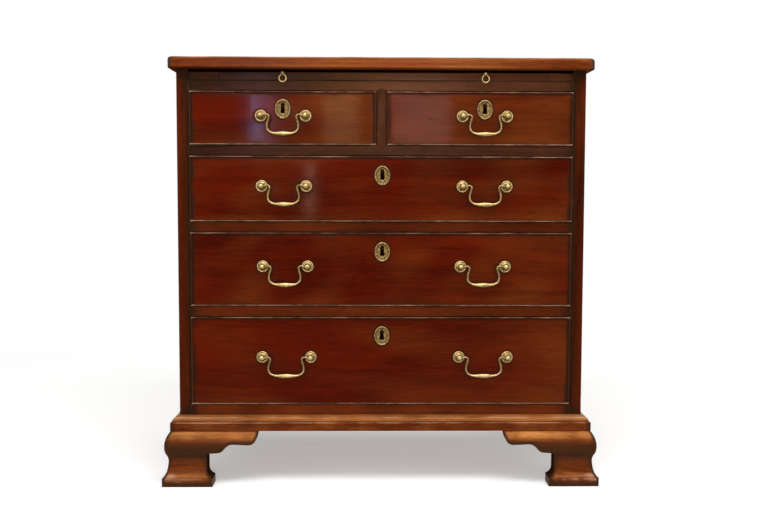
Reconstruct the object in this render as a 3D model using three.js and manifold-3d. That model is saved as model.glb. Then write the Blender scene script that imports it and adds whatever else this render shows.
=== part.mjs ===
// A bachelor's chest of Georgian pattern: a brushing slide over two short and three long drawers,
// on ogee bracket feet, with swan-neck handles.
// Lengths are in millimetres, +X to the right, +Y to the back, +Z up.
// The origin is on the floor, under the middle of the whole piece.

import * as THREE from "three";
import { mergeVertices } from "three/addons/utils/BufferGeometryUtils.js";
import Module from "manifold-3d";

// Case
const carcassWidth = 775;
const carcassDepth = 460;
const sideThickness = 22.4;
const boardThickness = 18.4;
const housingDepth = 8;
const housingStop = 12;
const dividerHousing = 5;
const backThickness = 12;
const backRebate = 12;
const backLap = 10;
const overrun = 3;

// Heights, from the floor up
const footHeight = 104.7;
const mouldingHeight = 29.4;
const bottomRailShow = 18.9;
const lowerOpening = 171.6;
const middleOpening = 143.4;
const upperOpening = 126.8;
const shortOpening = 103.4;
const slideOpening = 21.6;
const topThickness = 21.2;

// Top board
const topOverhangSide = 15;
const topOverhangFront = 17;
const topCornerRadius = 15;
const topArris = 3;
const topHousing = 6;
const topHousingStop = 28;

// Bottom board and the rail on its front edge
const bottomThickness = 16;
const bottomRailDepth = 24;

// Base moulding, as distances out from the carcass
const mouldingOut = 16;
const mouldingBand = 16.6;
const mouldingFillet = 1.8;
const mouldingTopOut = 1;
// The slope over the band pulls towards this place: out as a share of mouldingOut, up as a share of
// mouldingHeight
const mouldingPullShares = [0.55, 0.883];

// Bracket feet. Lengths along the wall are measured from the pad's outer face.
const padOut = 30.5;
const footLength = 182;
const bracketInset = 8;
const backBracketThickness = 18;
const glueBlock = 32;
const glueBlockLift = 8;
// The ogee face, from the pad up: out as a share of padOut, up as a share of footHeight
const ogeeShares = {
  padTop: [1, 0.15],
  flarePull: [0.7, 0.19],
  waist: [0.63, 0.44],
  neckPull: [0.64, 0.535],
  bulgeFoot: [0.775, 0.587],
  bulgePullLow: [0.92, 0.69],
  bulgePullHigh: [0.935, 0.86],
  top: [0.51, 1],
};
// The sawn edge of the bracket: along as a share of footLength, up as a share of footHeight
const bracketShares = {
  pad: [0.545, 0.16],
  flarePull: [0.475, 0.19],
  ankle: [0.47, 0.29],
  ankleTop: [0.47, 0.56],
  shelf: [0.5, 0.6],
  shelfEnd: [0.6, 0.615],
  risePullLow: [0.65, 0.63],
  risePullHigh: [0.66, 0.775],
  wing: [0.745, 0.77],
  wingEnd: [0.9, 0.757],
  tipPull: [0.975, 0.78],
  tip: [1, 1],
};

// Brushing slide
const slideThickness = 15.2;
const slideBackGap = 43;
const slideLift = 0.5;
const slideSideGap = 0.8;
const eyeRise = 10.8;
const eyeShares = [-0.256, 0.2685];

// Drawers
const frontThickness = 20;
const drawerBackGap = 18;
const drawerSideGap = 0.8;
const drawerTopGap = 1.2;
const drawerBottomGap = 0.8;
const runGap = 0.3;
const fitGap = 0.3;
const shoulderGap = 0.1;
const beadThickness = 3.2;
const beadProud = 2.4;
const beadDepth = 10;
const liningThickness = 9;
const liningTopGap = 2.6;
const backDrop = 10;
const floorThickness = 7;
const floorLift = 8;
const floorTongue = 6;
const tailLength = 14;
const tailSplay = 2.4;
const tailPitch = 32;
const tailShare = 0.62;
const stopWidth = 40;
const stopLength = 30;
const stopThickness = 4;
const stopInset = 70;

// Locks
const keyholeRadius = 3.9;
const keyholeSlotTop = 3;
const keyholeSlotFoot = 4;
const keyholeRise = 7.9;
const keyholeLength = 15;
const lockWidth = 62;
const lockHeight = 44;
const lockDepth = 10;
const lockTopMargin = 7;
const boltWidth = 22;
const boltThickness = 5;
const boltHeight = 30;
const boltTravel = 7;

// Handles
const handleRiseShare = 0.04;
const ballRadius = 6;
const ballStandoff = 14;
const ballHoleRadius = 2.3;
const roseRadius = 11;
const roseRim = 1.2;
const roseDome = 2.8;
const roseDomeRadius = 4.2;
const neckRadius = 2.6;
const neckFoot = 5;
const shankRadius = 2.2;
const shankGap = 0.4;
const nutRadius = 5.5;
const nutThickness = 4;
const shankTail = 3;
const bailWireRadius = 1.7;
const bailPinReach = 3.5;
const gripRadius = 4.5;
const gripHalfShare = 0.205;
// The swan neck: inwards from the ball's inner face and up from the pin, as shares of the post spacing
const neckShares = [
  [0.027, 0.011],
  [0.067, 0.018],
  [0.109, 0],
  [0.124, -0.04],
  [0.109, -0.105],
  [0.077, -0.17],
  [0.065, -0.235],
  [0.082, -0.305],
  [0.126, -0.365],
  [0.189, -0.402],
  [0.269, -0.42],
];
const gripDropShare = 0.425;

// Slide rings
const ringRadius = 8;
const ringWireRadius = 1.2;
const eyeRadius = 3.5;
const eyeHoleRadius = 2;
// The ring's wire bends away below its top, so its top lies this far above the hole's middle.
const ringLift = 0.25;
const eyeStandoff = 8;
const eyeNeckRadius = 1.6;
const eyeCollarRadius = 4;
const eyeCollarThickness = 1.2;
const eyeShankRadius = 1.3;
const eyeShankLength = 15;

// Facets
const turnedSides = 8;
const wireSides = 6;
const bailSteps = 30;
const ringSteps = 18;
const curveSteps = 4;
const topArrisSteps = 2;
const topCornerSteps = 5;
const ballSteps = 5;
const gripSteps = 6;

// Worked-out places
const halfCarcass = carcassWidth / 2;
const innerHalf = halfCarcass - sideThickness;
const front = (padOut - carcassDepth) / 2;
const back = front + carcassDepth;
const backBoardFace = back - backThickness;
const mouldingTop = footHeight + mouldingHeight;
const bottomTop = mouldingTop + bottomRailShow;
const lowerBoard = bottomTop + lowerOpening;
const middleBase = lowerBoard + boardThickness;
const middleBoard = middleBase + middleOpening;
const upperBase = middleBoard + boardThickness;
const upperBoard = upperBase + upperOpening;
const shortBase = upperBoard + boardThickness;
const slideBoard = shortBase + shortOpening;
const slideBase = slideBoard + boardThickness;
const topBase = slideBase + slideOpening;
const topFace = topBase + topThickness;
const shortInner = (innerHalf * 2 - boardThickness) / 2;
const shortCentre = (boardThickness + shortInner) / 2;
const backJoint = upperBoard + boardThickness / 2;
const boltY = front + frontThickness - lockDepth / 2;
const slideLow = slideBase + slideLift;
const slideHalf = innerHalf - slideSideGap;
const eyeZ = slideLow + eyeRise;

const drawers = [
  {
    name: "short_left",
    centre: -shortCentre,
    room: shortInner,
    base: shortBase,
    opening: shortOpening,
    postSpacing: 84.5,
    lockDrop: 35,
    lockShare: 0,
    handleShares: { handle: 0.002 },
  },
  {
    name: "short_right",
    centre: shortCentre,
    room: shortInner,
    base: shortBase,
    opening: shortOpening,
    postSpacing: 84.5,
    lockDrop: 35,
    lockShare: 0.024,
    handleShares: { handle: 0.024 },
  },
  {
    name: "long_upper",
    centre: 0,
    room: innerHalf * 2,
    base: upperBase,
    opening: upperOpening,
    postSpacing: 84.5,
    lockDrop: 38,
    lockShare: 0.002,
    handleShares: { left: -0.2546, right: 0.2693 },
  },
  {
    name: "long_middle",
    centre: 0,
    room: innerHalf * 2,
    base: middleBase,
    opening: middleOpening,
    postSpacing: 85.5,
    lockDrop: 38,
    lockShare: 0.002,
    handleShares: { left: -0.252, right: 0.2663 },
  },
  {
    name: "long_lower",
    centre: 0,
    room: innerHalf * 2,
    base: bottomTop,
    opening: lowerOpening,
    postSpacing: 92.8,
    lockDrop: 38,
    lockShare: 0.0015,
    handleShares: { left: -0.2495, right: 0.269 },
  },
];

for (const drawer of drawers) {
  drawer.half = drawer.room / 2 - drawerSideGap;
  drawer.low = drawer.base + drawerBottomGap;
  drawer.high = drawer.base + drawer.opening - drawerTopGap;
  drawer.width = drawer.half * 2;
  drawer.height = drawer.high - drawer.low;
  drawer.lockX = drawer.centre + drawer.lockShare * drawer.width;
  drawer.lockZ = drawer.high - drawer.lockDrop;
  drawer.handleZ = drawer.low + drawer.height * (1 / 2 + handleRiseShare);
  drawer.handles = Object.entries(drawer.handleShares).map(([side, share]) => ({
    name: side === "handle" ? drawer.name : `${drawer.name}_${side}`,
    x: drawer.centre + share * drawer.width,
  }));
}

const wasm = await Module();
wasm.setup();

// Solids

// A closed geometry as a solid that can be joined and cut, with its faces turned outwards
function solid(geometry) {
  const bare = geometry.index ? geometry.toNonIndexed() : geometry.clone();
  bare.deleteAttribute("normal");
  bare.deleteAttribute("uv");
  const merged = mergeVertices(bare);
  const triangles = new Uint32Array(merged.index.array);
  const made = solidFrom(merged.attributes.position.array, triangles);
  if (made.volume() > 0) return made;
  for (let i = 0; i < triangles.length; i += 3) {
    [triangles[i + 1], triangles[i + 2]] = [triangles[i + 2], triangles[i + 1]];
  }
  return solidFrom(merged.attributes.position.array, triangles);
}

function solidFrom(vertProperties, triVerts) {
  return new wasm.Manifold(new wasm.Mesh({ numProp: 3, vertProperties, triVerts }));
}

function geometryOf(made) {
  const mesh = made.getMesh();
  const geometry = new THREE.BufferGeometry();
  geometry.setAttribute("position", new THREE.BufferAttribute(mesh.vertProperties, 3));
  geometry.setIndex(new THREE.BufferAttribute(mesh.triVerts, 1));
  return geometry;
}

function joined(parts) {
  return parts.reduce((whole, part) => whole.add(part));
}

function cut(whole, holes) {
  return holes.reduce((left, hole) => left.subtract(hole), whole);
}

function block(x, y, z) {
  const geometry = new THREE.BoxGeometry(x[1] - x[0], y[1] - y[0], z[1] - z[0]);
  geometry.translate((x[0] + x[1]) / 2, (y[0] + y[1]) / 2, (z[0] + z[1]) / 2);
  return solid(geometry);
}

function around(centre, width) {
  return [centre - width / 2, centre + width / 2];
}

// A shape drawn in X and Z, as thick as the span in Y
function plateAlongY(shape, span) {
  const geometry = new THREE.ExtrudeGeometry(shape, {
    depth: span[1] - span[0],
    bevelEnabled: false,
    curveSegments: curveSteps,
  });
  geometry.rotateX(Math.PI / 2);
  geometry.translate(0, span[1], 0);
  return solid(geometry);
}

// A shape drawn in Y and Z, as thick as the span in X
function plateAlongX(shape, span) {
  const geometry = new THREE.ExtrudeGeometry(shape, {
    depth: span[1] - span[0],
    bevelEnabled: false,
    curveSegments: curveSteps,
  });
  const alongY = new THREE.Vector3(0, 1, 0);
  const alongZ = new THREE.Vector3(0, 0, 1);
  const alongX = new THREE.Vector3(1, 0, 0);
  geometry.applyMatrix4(new THREE.Matrix4().makeBasis(alongY, alongZ, alongX));
  geometry.translate(span[0], 0, 0);
  return solid(geometry);
}

function rodAlongX(radius, span, y, z) {
  const geometry = new THREE.CylinderGeometry(radius, radius, span[1] - span[0], turnedSides);
  geometry.rotateZ(Math.PI / 2);
  geometry.translate((span[0] + span[1]) / 2, y, z);
  return solid(geometry);
}

function rodAlongY(radius, x, span, z) {
  const geometry = new THREE.CylinderGeometry(radius, radius, span[1] - span[0], turnedSides);
  geometry.translate(x, (span[0] + span[1]) / 2, z);
  return solid(geometry);
}

// A moulding: one outline carried from place to place, with mitres where the direction turns.
// A place turns a point (out, up) of the outline into a point in space.
function moulding(outline, places, loops = false) {
  const positions = [];
  for (const place of places) {
    for (const point of outline) positions.push(...place(point.x, point.y));
  }
  const faces = [];
  const runs = loops ? places.length : places.length - 1;
  for (let run = 0; run < runs; run += 1) {
    const here = run * outline.length;
    const next = ((run + 1) % places.length) * outline.length;
    for (let i = 0; i < outline.length; i += 1) {
      const j = (i + 1) % outline.length;
      faces.push([here + j, here + i, next + i], [here + j, next + i, next + j]);
    }
  }
  if (!loops) {
    const last = (places.length - 1) * outline.length;
    for (const [a, b, c] of THREE.ShapeUtils.triangulateShape(outline, [])) {
      faces.push([a, b, c], [last + c, last + b, last + a]);
    }
  }
  const geometry = new THREE.BufferGeometry();
  geometry.setAttribute("position", new THREE.Float32BufferAttribute(positions, 3));
  geometry.setIndex(faces.flat());
  return solid(geometry);
}

// A place for a moulding that stands on a plan: the corner and the way out from the wall
function planPlace(x, y, outX, outY) {
  return (out, up) => [x + out * outX, y + out * outY, up];
}

// A profile of [radius, distance] points turned about a line along Y, with distance towards -Y
function turnedAlongY(profile, x, y, z) {
  const points = profile.map(([radius, distance]) => new THREE.Vector2(radius, distance));
  const geometry = new THREE.LatheGeometry(points, turnedSides);
  geometry.rotateZ(Math.PI);
  geometry.translate(x, y, z);
  return solid(geometry);
}

// Case

// The top board has round front corners and sits in stopped housings over the sides.
function topBoard() {
  const half = halfCarcass + topOverhangSide - topArris;
  const frontEdge = front - topOverhangFront + topArris;
  const backEdge = back - topArris;
  const radius = topCornerRadius - topArris;
  const plan = new THREE.Shape();
  plan.moveTo(half, backEdge);
  plan.lineTo(-half, backEdge);
  plan.lineTo(-half, frontEdge + radius);
  plan.absarc(-half + radius, frontEdge + radius, radius, Math.PI, Math.PI * 1.5);
  plan.lineTo(half - radius, frontEdge);
  plan.absarc(half - radius, frontEdge + radius, radius, Math.PI * 1.5, Math.PI * 2);
  const geometry = new THREE.ExtrudeGeometry(plan, {
    depth: topThickness - topArris * 2,
    bevelThickness: topArris,
    bevelSize: topArris,
    bevelSegments: topArrisSteps,
    curveSegments: topCornerSteps,
  });
  geometry.translate(0, 0, topBase + topArris);
  const housings = [-1, 1].map((side) => sideTop(side, overrun));
  return cut(solid(geometry), housings);
}

// The tongue on top of a side, or the housing that holds it when it runs out past the back
function sideTop(side, beyond = 0) {
  const edges = [side * innerHalf, side * halfCarcass].sort((a, b) => a - b);
  return block(edges, [front + topHousingStop, back + beyond], [topBase - overrun, topBase + topHousing]);
}

function sideBoard(side) {
  const edges = [side * innerHalf, side * halfCarcass].sort((a, b) => a - b);
  const board = block(edges, [front, back], [footHeight, topBase]);
  const inwards = (depth) =>
    [side * (innerHalf - overrun), side * (innerHalf + depth)].sort((a, b) => a - b);
  const housings = [lowerBoard, middleBoard, upperBoard, slideBoard].map((height) =>
    block(inwards(housingDepth), [front + housingStop, backBoardFace], [height, height + boardThickness]),
  );
  const bottomHousing = block(
    inwards(housingDepth),
    [front + bottomRailDepth, backBoardFace],
    [bottomTop - bottomThickness, bottomTop],
  );
  const rebate = block(inwards(backRebate), [backBoardFace, back + overrun], [footHeight - overrun, topFace]);
  const tongue = sideTop(side);
  return cut(board.add(tongue), [...housings, bottomHousing, rebate]);
}

// The back is two boards across the case, lapped where they meet.
function backBoard(isUpper) {
  const across = [-innerHalf - backRebate, innerHalf + backRebate];
  const middle = (backBoardFace + back) / 2;
  if (isUpper) {
    const board = block(across, [backBoardFace, back], [backJoint, topBase]);
    return board.add(block(across, [middle, back], [backJoint - backLap, backJoint + overrun]));
  }
  const board = block(across, [backBoardFace, back], [footHeight, backJoint]);
  return cut(board, [block(across, [middle, back + overrun], [backJoint - backLap, backJoint + overrun])]);
}

// Two small blocks at each drawer's opening stop the closed drawer flush.
function drawerStops(base, centre, room) {
  return [-1, 1].map((side) =>
    block(
      around(centre + side * (room / 2 - stopInset), stopWidth),
      [front + frontThickness + fitGap, front + frontThickness + fitGap + stopLength],
      [base - overrun, base + stopThickness],
    ),
  );
}

function boltMortises(base) {
  return drawers
    .filter((drawer) => drawer.base + drawer.opening === base)
    .map((drawer) =>
      block(
        around(drawer.lockX, boltWidth + fitGap * 2),
        around(boltY, boltThickness + fitGap * 2),
        [base - overrun, base + boltTravel],
      ),
    );
}

// A board as deep as the case. Its ends go into the sides, stopped short of the front edge.
function fullBoard(base) {
  const height = [base, base + boardThickness];
  const board = block([-innerHalf, innerHalf], [front, backBoardFace], height);
  const across = [-innerHalf - housingDepth, innerHalf + housingDepth];
  const housed = block(across, [front + housingStop, backBoardFace], height);
  return cut(board.add(housed), boltMortises(base));
}

function slideDivider() {
  const housing = block(
    around(0, boardThickness),
    [front - overrun, backBoardFace + overrun],
    [slideBoard - overrun, slideBoard + dividerHousing],
  );
  return cut(fullBoard(slideBoard), [housing]);
}

function upperDivider() {
  const top = upperBoard + boardThickness;
  const housing = block(
    around(0, boardThickness),
    [front - overrun, backBoardFace + overrun],
    [top - dividerHousing, top + overrun],
  );
  const stops = [-1, 1].flatMap((side) => drawerStops(top, side * shortCentre, shortInner));
  return cut(joined([fullBoard(upperBoard), ...stops]), [housing]);
}

function longDivider(base) {
  const stops = drawerStops(base + boardThickness, 0, innerHalf * 2);
  return joined([fullBoard(base), ...stops]);
}

function bottomBoard() {
  const across = [-innerHalf - housingDepth, innerHalf + housingDepth];
  const board = block(
    across,
    [front + bottomRailDepth, backBoardFace],
    [bottomTop - bottomThickness, bottomTop],
  );
  const rail = block([-innerHalf, innerHalf], [front, front + bottomRailDepth], [footHeight, bottomTop]);
  const stops = drawerStops(bottomTop, 0, innerHalf * 2);
  return joined([board, rail, ...stops]);
}

function drawerDivider() {
  return block(
    around(0, boardThickness),
    [front, backBoardFace],
    [shortBase - dividerHousing, slideBoard + dividerHousing],
  );
}

function baseMoulding() {
  const outline = new THREE.Shape();
  const shoulder = footHeight + mouldingBand;
  outline.moveTo(0, footHeight);
  outline.lineTo(mouldingOut, footHeight);
  outline.lineTo(mouldingOut, shoulder);
  outline.lineTo(mouldingOut - mouldingFillet, shoulder + mouldingFillet / 2);
  const [pullOut, pullUp] = mouldingPullShares;
  outline.quadraticCurveTo(
    pullOut * mouldingOut,
    footHeight + pullUp * mouldingHeight,
    mouldingTopOut,
    mouldingTop,
  );
  outline.lineTo(0, mouldingTop);
  return moulding(outline.extractPoints(curveSteps).shape, [
    planPlace(-halfCarcass, back, -1, 0),
    planPlace(-halfCarcass, front, -1, -1),
    planPlace(halfCarcass, front, 1, -1),
    planPlace(halfCarcass, back, 1, 0),
  ]);
}

// Feet

function ogeeOutline() {
  const at = ([out, up]) => [out * padOut, up * footHeight];
  const outline = new THREE.Shape();
  outline.moveTo(-bracketInset, 0);
  outline.lineTo(padOut, 0);
  outline.lineTo(...at(ogeeShares.padTop));
  outline.quadraticCurveTo(...at(ogeeShares.flarePull), ...at(ogeeShares.waist));
  outline.quadraticCurveTo(...at(ogeeShares.neckPull), ...at(ogeeShares.bulgeFoot));
  outline.bezierCurveTo(
    ...at(ogeeShares.bulgePullLow),
    ...at(ogeeShares.bulgePullHigh),
    ...at(ogeeShares.top),
  );
  outline.lineTo(-bracketInset, footHeight);
  return outline.extractPoints(curveSteps).shape;
}

// What the saw takes out of a bracket. It starts at the pad's outer face and runs the way of the wing.
function bracketWaste(start, way) {
  const at = ([along, up]) => [start + way * along * footLength, up * footHeight];
  const far = start + way * (footLength + overrun);
  const waste = new THREE.Shape();
  waste.moveTo(at(bracketShares.pad)[0], -overrun);
  waste.lineTo(...at(bracketShares.pad));
  waste.quadraticCurveTo(...at(bracketShares.flarePull), ...at(bracketShares.ankle));
  waste.lineTo(...at(bracketShares.ankleTop));
  waste.lineTo(...at(bracketShares.shelf));
  waste.lineTo(...at(bracketShares.shelfEnd));
  waste.bezierCurveTo(
    ...at(bracketShares.risePullLow),
    ...at(bracketShares.risePullHigh),
    ...at(bracketShares.wing),
  );
  waste.lineTo(...at(bracketShares.wingEnd));
  waste.quadraticCurveTo(...at(bracketShares.tipPull), ...at(bracketShares.tip));
  waste.lineTo(far, footHeight);
  waste.lineTo(far, -overrun);
  return waste;
}

function foot(side, isFront) {
  const wing = footLength - padOut;
  const cornerX = side * halfCarcass;
  const cornerY = isFront ? front : back;
  const inwardY = isFront ? 1 : -1;
  const sideTip = planPlace(cornerX, cornerY + inwardY * wing, side, 0);
  const ogee = ogeeOutline();
  const blockX = [cornerX - side * (bracketInset - overrun), cornerX - side * (bracketInset + glueBlock)];
  const blockY = [
    cornerY + inwardY * (bracketInset - overrun),
    cornerY + inwardY * (bracketInset + glueBlock),
  ];
  const corner = block(
    blockX.sort((a, b) => a - b),
    blockY.sort((a, b) => a - b),
    [glueBlockLift, footHeight],
  );
  const frontWaste = plateAlongY(bracketWaste(side * (halfCarcass + padOut), -side), [
    front - padOut - overrun,
    back + overrun,
  ]);
  const sideWasteSpan = [halfCarcass - bracketInset - overrun, halfCarcass + padOut + overrun];
  const sideWaste = plateAlongX(
    bracketWaste(cornerY - inwardY * padOut, inwardY),
    sideWasteSpan.map((x) => side * x).sort((a, b) => a - b),
  );
  if (isFront) {
    const brackets = moulding(ogee, [
      planPlace(cornerX - side * wing, cornerY, 0, -1),
      planPlace(cornerX, cornerY, side, -1),
      sideTip,
    ]);
    return cut(brackets, [frontWaste, sideWaste]).add(corner);
  }
  const ogeeBracket = moulding(ogee, [planPlace(cornerX, cornerY, side, 0), sideTip]);
  const plainSpan = [cornerX, cornerX - side * wing].sort((a, b) => a - b);
  const plainBracket = block(plainSpan, [back - backBracketThickness, back], [0, footHeight]);
  return joined([cut(ogeeBracket, [sideWaste]), cut(plainBracket, [frontWaste]), corner]);
}

// Drawers

// Tails on the end of a lining, splayed so that the front can't be pulled off
function tails(drawer, side, spare) {
  const low = drawer.base + runGap;
  const high = drawer.base + drawer.opening - liningTopGap;
  const count = Math.max(2, Math.round((high - low) / tailPitch));
  const pitch = (high - low) / count;
  const face = front + frontThickness;
  const outer = drawer.centre + side * (drawer.half - beadThickness);
  const inner = outer - side * (liningThickness + spare);
  const span = [spare > 0 ? outer + side * (beadThickness + overrun) : outer, inner].sort((a, b) => a - b);
  return Array.from({ length: count }, (_, index) => {
    const middle = low + pitch * (index + 1 / 2);
    const root = (pitch * tailShare) / 2 + spare;
    const tail = new THREE.Shape();
    tail.moveTo(face + overrun, middle - root);
    tail.lineTo(face, middle - root);
    tail.lineTo(face - tailLength - spare, middle - root - tailSplay);
    tail.lineTo(face - tailLength - spare, middle + root + tailSplay);
    tail.lineTo(face, middle + root);
    tail.lineTo(face + overrun, middle + root);
    return plateAlongX(tail, span);
  });
}

function cockBead(drawer) {
  const nose = beadThickness / 2;
  const outline = new THREE.Shape();
  outline.moveTo(0, -beadDepth);
  outline.lineTo(beadThickness, -beadDepth);
  outline.lineTo(beadThickness, beadProud - nose);
  outline.absarc(nose, beadProud - nose, nose, 0, Math.PI);
  const middle = (drawer.low + drawer.high) / 2;
  const corners = [
    [-1, -1],
    [1, -1],
    [1, 1],
    [-1, 1],
  ];
  const places = corners.map(([sideX, sideZ]) => (inset, proud) => [
    drawer.centre + sideX * (drawer.half - inset),
    front - proud,
    middle + sideZ * (drawer.height / 2 - inset),
  ]);
  return moulding(outline.extractPoints(curveSteps).shape, places, true);
}

function keyhole(drawer) {
  const hole = new THREE.Shape();
  const head = drawer.lockZ + keyholeRise;
  const foot = head - keyholeLength;
  const spread = Math.asin(keyholeSlotTop / keyholeRadius);
  hole.absarc(drawer.lockX, head, keyholeRadius, -Math.PI / 2 + spread, Math.PI * 1.5 - spread);
  hole.lineTo(drawer.lockX - keyholeSlotFoot, foot);
  hole.lineTo(drawer.lockX + keyholeSlotFoot, foot);
  return plateAlongY(hole, [front - overrun, front + frontThickness + overrun]);
}

function drawerFront(drawer) {
  const slab = block(
    around(drawer.centre, drawer.width),
    [front, front + frontThickness],
    [drawer.low, drawer.high],
  );
  const face = front + frontThickness;
  const recess = block(
    around(drawer.lockX, lockWidth),
    [face - lockDepth, face + overrun],
    [drawer.high - lockTopMargin - lockHeight, drawer.high - lockTopMargin],
  );
  const boltSlot = block(
    around(drawer.lockX, boltWidth + fitGap * 2),
    around(boltY, boltThickness + fitGap * 2),
    [drawer.high - lockTopMargin - overrun, drawer.high + overrun],
  );
  const floorGroove = block(
    around(drawer.centre, drawer.width - (beadThickness + liningThickness) * 2 + fitGap * 2),
    [face - floorTongue - fitGap, face + overrun],
    [drawer.base + floorLift - fitGap, drawer.base + floorLift + floorThickness + fitGap],
  );
  const sockets = [-1, 1].flatMap((side) => tails(drawer, side, fitGap));
  const shanks = drawer.handles.flatMap((handle) =>
    [-1, 1].map((side) =>
      rodAlongY(
        shankRadius + shankGap,
        handle.x + (side * drawer.postSpacing) / 2,
        [front - overrun, face + overrun],
        drawer.handleZ,
      ),
    ),
  );
  const beaded = slab.add(cockBead(drawer));
  return cut(beaded, [keyhole(drawer), recess, boltSlot, floorGroove, ...sockets, ...shanks]);
}

// The box behind a front: two linings with their tails, the back and the floor
function drawerBox(drawer) {
  const face = front + frontThickness;
  const rear = backBoardFace - drawerBackGap;
  const outer = drawer.half - beadThickness;
  const top = drawer.base + drawer.opening - liningTopGap;
  const linings = [-1, 1].map((side) => {
    const span = [drawer.centre + side * outer, drawer.centre + side * (outer - liningThickness)];
    return block(
      span.sort((a, b) => a - b),
      [face + shoulderGap, rear],
      [drawer.base + runGap, top],
    );
  });
  const between = around(drawer.centre, outer * 2 - liningThickness);
  const backPlate = block(between, [rear - liningThickness, rear], [drawer.base + floorLift, top - backDrop]);
  const floor = block(
    between,
    [face + shoulderGap, rear],
    [drawer.base + floorLift, drawer.base + floorLift + floorThickness],
  );
  const tongue = block(
    around(drawer.centre, (outer - liningThickness) * 2),
    [face - floorTongue, face + overrun],
    [drawer.base + floorLift, drawer.base + floorLift + floorThickness],
  );
  const allTails = [-1, 1].flatMap((side) => tails(drawer, side, 0));
  return joined([...linings, backPlate, floor, tongue, ...allTails]);
}

function lockBolt(drawer) {
  return block(
    around(drawer.lockX, boltWidth),
    around(boltY, boltThickness),
    [drawer.high - boltHeight, drawer.high],
  );
}

// Brass

// A post: rose, neck and ball in front of the drawer, shank through it and a nut behind
function handlePost(drawer, handle, side) {
  const x = handle.x + (side * drawer.postSpacing) / 2;
  const ballProfile = [];
  const startAngle = Math.asin(neckRadius / ballRadius);
  for (let step = 0; step < ballSteps; step += 1) {
    const angle = startAngle + ((Math.PI - startAngle) * step) / ballSteps;
    ballProfile.push([Math.sin(angle) * ballRadius, ballStandoff - Math.cos(angle) * ballRadius]);
  }
  const profile = [
    [0, -frontThickness - nutThickness - shankTail],
    [shankRadius, -frontThickness - nutThickness - shankTail],
    [shankRadius, -frontThickness - nutThickness],
    [nutRadius, -frontThickness - nutThickness],
    [nutRadius, -frontThickness],
    [shankRadius, -frontThickness],
    [shankRadius, 0],
    [roseRadius, 0],
    [roseRadius - roseRim, roseRim],
    [roseDomeRadius, roseDome],
    [neckRadius, neckFoot],
    ...ballProfile,
    [0, ballStandoff + ballRadius],
  ];
  const post = turnedAlongY(profile, x, front, drawer.handleZ);
  const inner = x - side * (ballRadius + overrun);
  const reach = x + side * (bailPinReach + fitGap);
  const hole = rodAlongX(
    ballHoleRadius,
    [inner, reach].sort((a, b) => a - b),
    front - ballStandoff,
    drawer.handleZ,
  );
  return cut(post, [hole]);
}

function bail(drawer, handle) {
  const spacing = drawer.postSpacing;
  const y = front - ballStandoff;
  const at = (x, z) => new THREE.Vector3(handle.x + x, y, drawer.handleZ + z);
  const rightHalf = [
    at(spacing / 2 + bailPinReach, 0),
    at(spacing / 2, 0),
    at(spacing / 2 - ballRadius, 0),
    ...neckShares.map(([inward, up]) => at(spacing / 2 - ballRadius - inward * spacing, up * spacing)),
  ];
  const leftHalf = rightHalf.map((point) => at(handle.x - point.x, point.z - drawer.handleZ));
  const path = new THREE.CatmullRomCurve3([...rightHalf, ...leftHalf.reverse()]);
  const section = new THREE.Shape();
  section.absarc(0, 0, bailWireRadius, 0, Math.PI * 2);
  const rim = section.getPoints(wireSides).slice(0, wireSides);
  const wire = new THREE.ExtrudeGeometry(new THREE.Shape(rim), {
    steps: bailSteps,
    extrudePath: path,
    bevelEnabled: false,
  });
  const gripProfile = [];
  const gripHalf = gripHalfShare * spacing;
  for (let step = 0; step <= gripSteps; step += 1) {
    const along = step / gripSteps;
    const swell = Math.sin(Math.PI * along) ** 2;
    const radius = bailWireRadius + (gripRadius - bailWireRadius) * swell;
    gripProfile.push(new THREE.Vector2(radius, gripHalf * (along * 2 - 1)));
  }
  const gripGeometry = new THREE.LatheGeometry(
    [new THREE.Vector2(0, -gripHalf), ...gripProfile, new THREE.Vector2(0, gripHalf)],
    turnedSides,
  );
  gripGeometry.rotateZ(-Math.PI / 2);
  gripGeometry.translate(handle.x, y, drawer.handleZ - gripDropShare * spacing);
  return solid(wire).add(solid(gripGeometry));
}

// Slide

function slidePanel() {
  const panel = block(
    [-slideHalf, slideHalf],
    [front, backBoardFace - slideBackGap],
    [slideLow, slideLow + slideThickness],
  );
  const holes = eyeShares.map((share) =>
    rodAlongY(
      eyeShankRadius + shankGap,
      share * slideHalf * 2,
      [front - overrun, front + eyeShankLength + fitGap],
      eyeZ,
    ),
  );
  return cut(panel, holes);
}

function slideEye(x) {
  const ballProfile = [];
  const startAngle = Math.asin(eyeNeckRadius / eyeRadius);
  for (let step = 0; step < ballSteps; step += 1) {
    const angle = startAngle + ((Math.PI - startAngle) * step) / ballSteps;
    ballProfile.push([Math.sin(angle) * eyeRadius, eyeStandoff - Math.cos(angle) * eyeRadius]);
  }
  const profile = [
    [0, -eyeShankLength],
    [eyeShankRadius, -eyeShankLength],
    [eyeShankRadius, 0],
    [eyeCollarRadius, 0],
    [eyeCollarRadius, eyeCollarThickness],
    [eyeNeckRadius, eyeCollarThickness],
    ...ballProfile,
    [0, eyeStandoff + eyeRadius],
  ];
  const eye = turnedAlongY(profile, x, front, eyeZ);
  const hole = rodAlongX(eyeHoleRadius, around(x, (eyeRadius + overrun) * 2), front - eyeStandoff, eyeZ);
  return cut(eye, [hole]);
}

function slideRing(x) {
  const geometry = new THREE.TorusGeometry(ringRadius, ringWireRadius, wireSides, ringSteps);
  geometry.rotateX(Math.PI / 2);
  geometry.translate(x, front - eyeStandoff, eyeZ + ringLift - ringRadius);
  return solid(geometry);
}

// Finishes

function finish(colour, roughness, metalness) {
  return new THREE.MeshStandardMaterial({ color: colour, roughness, metalness });
}

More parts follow.
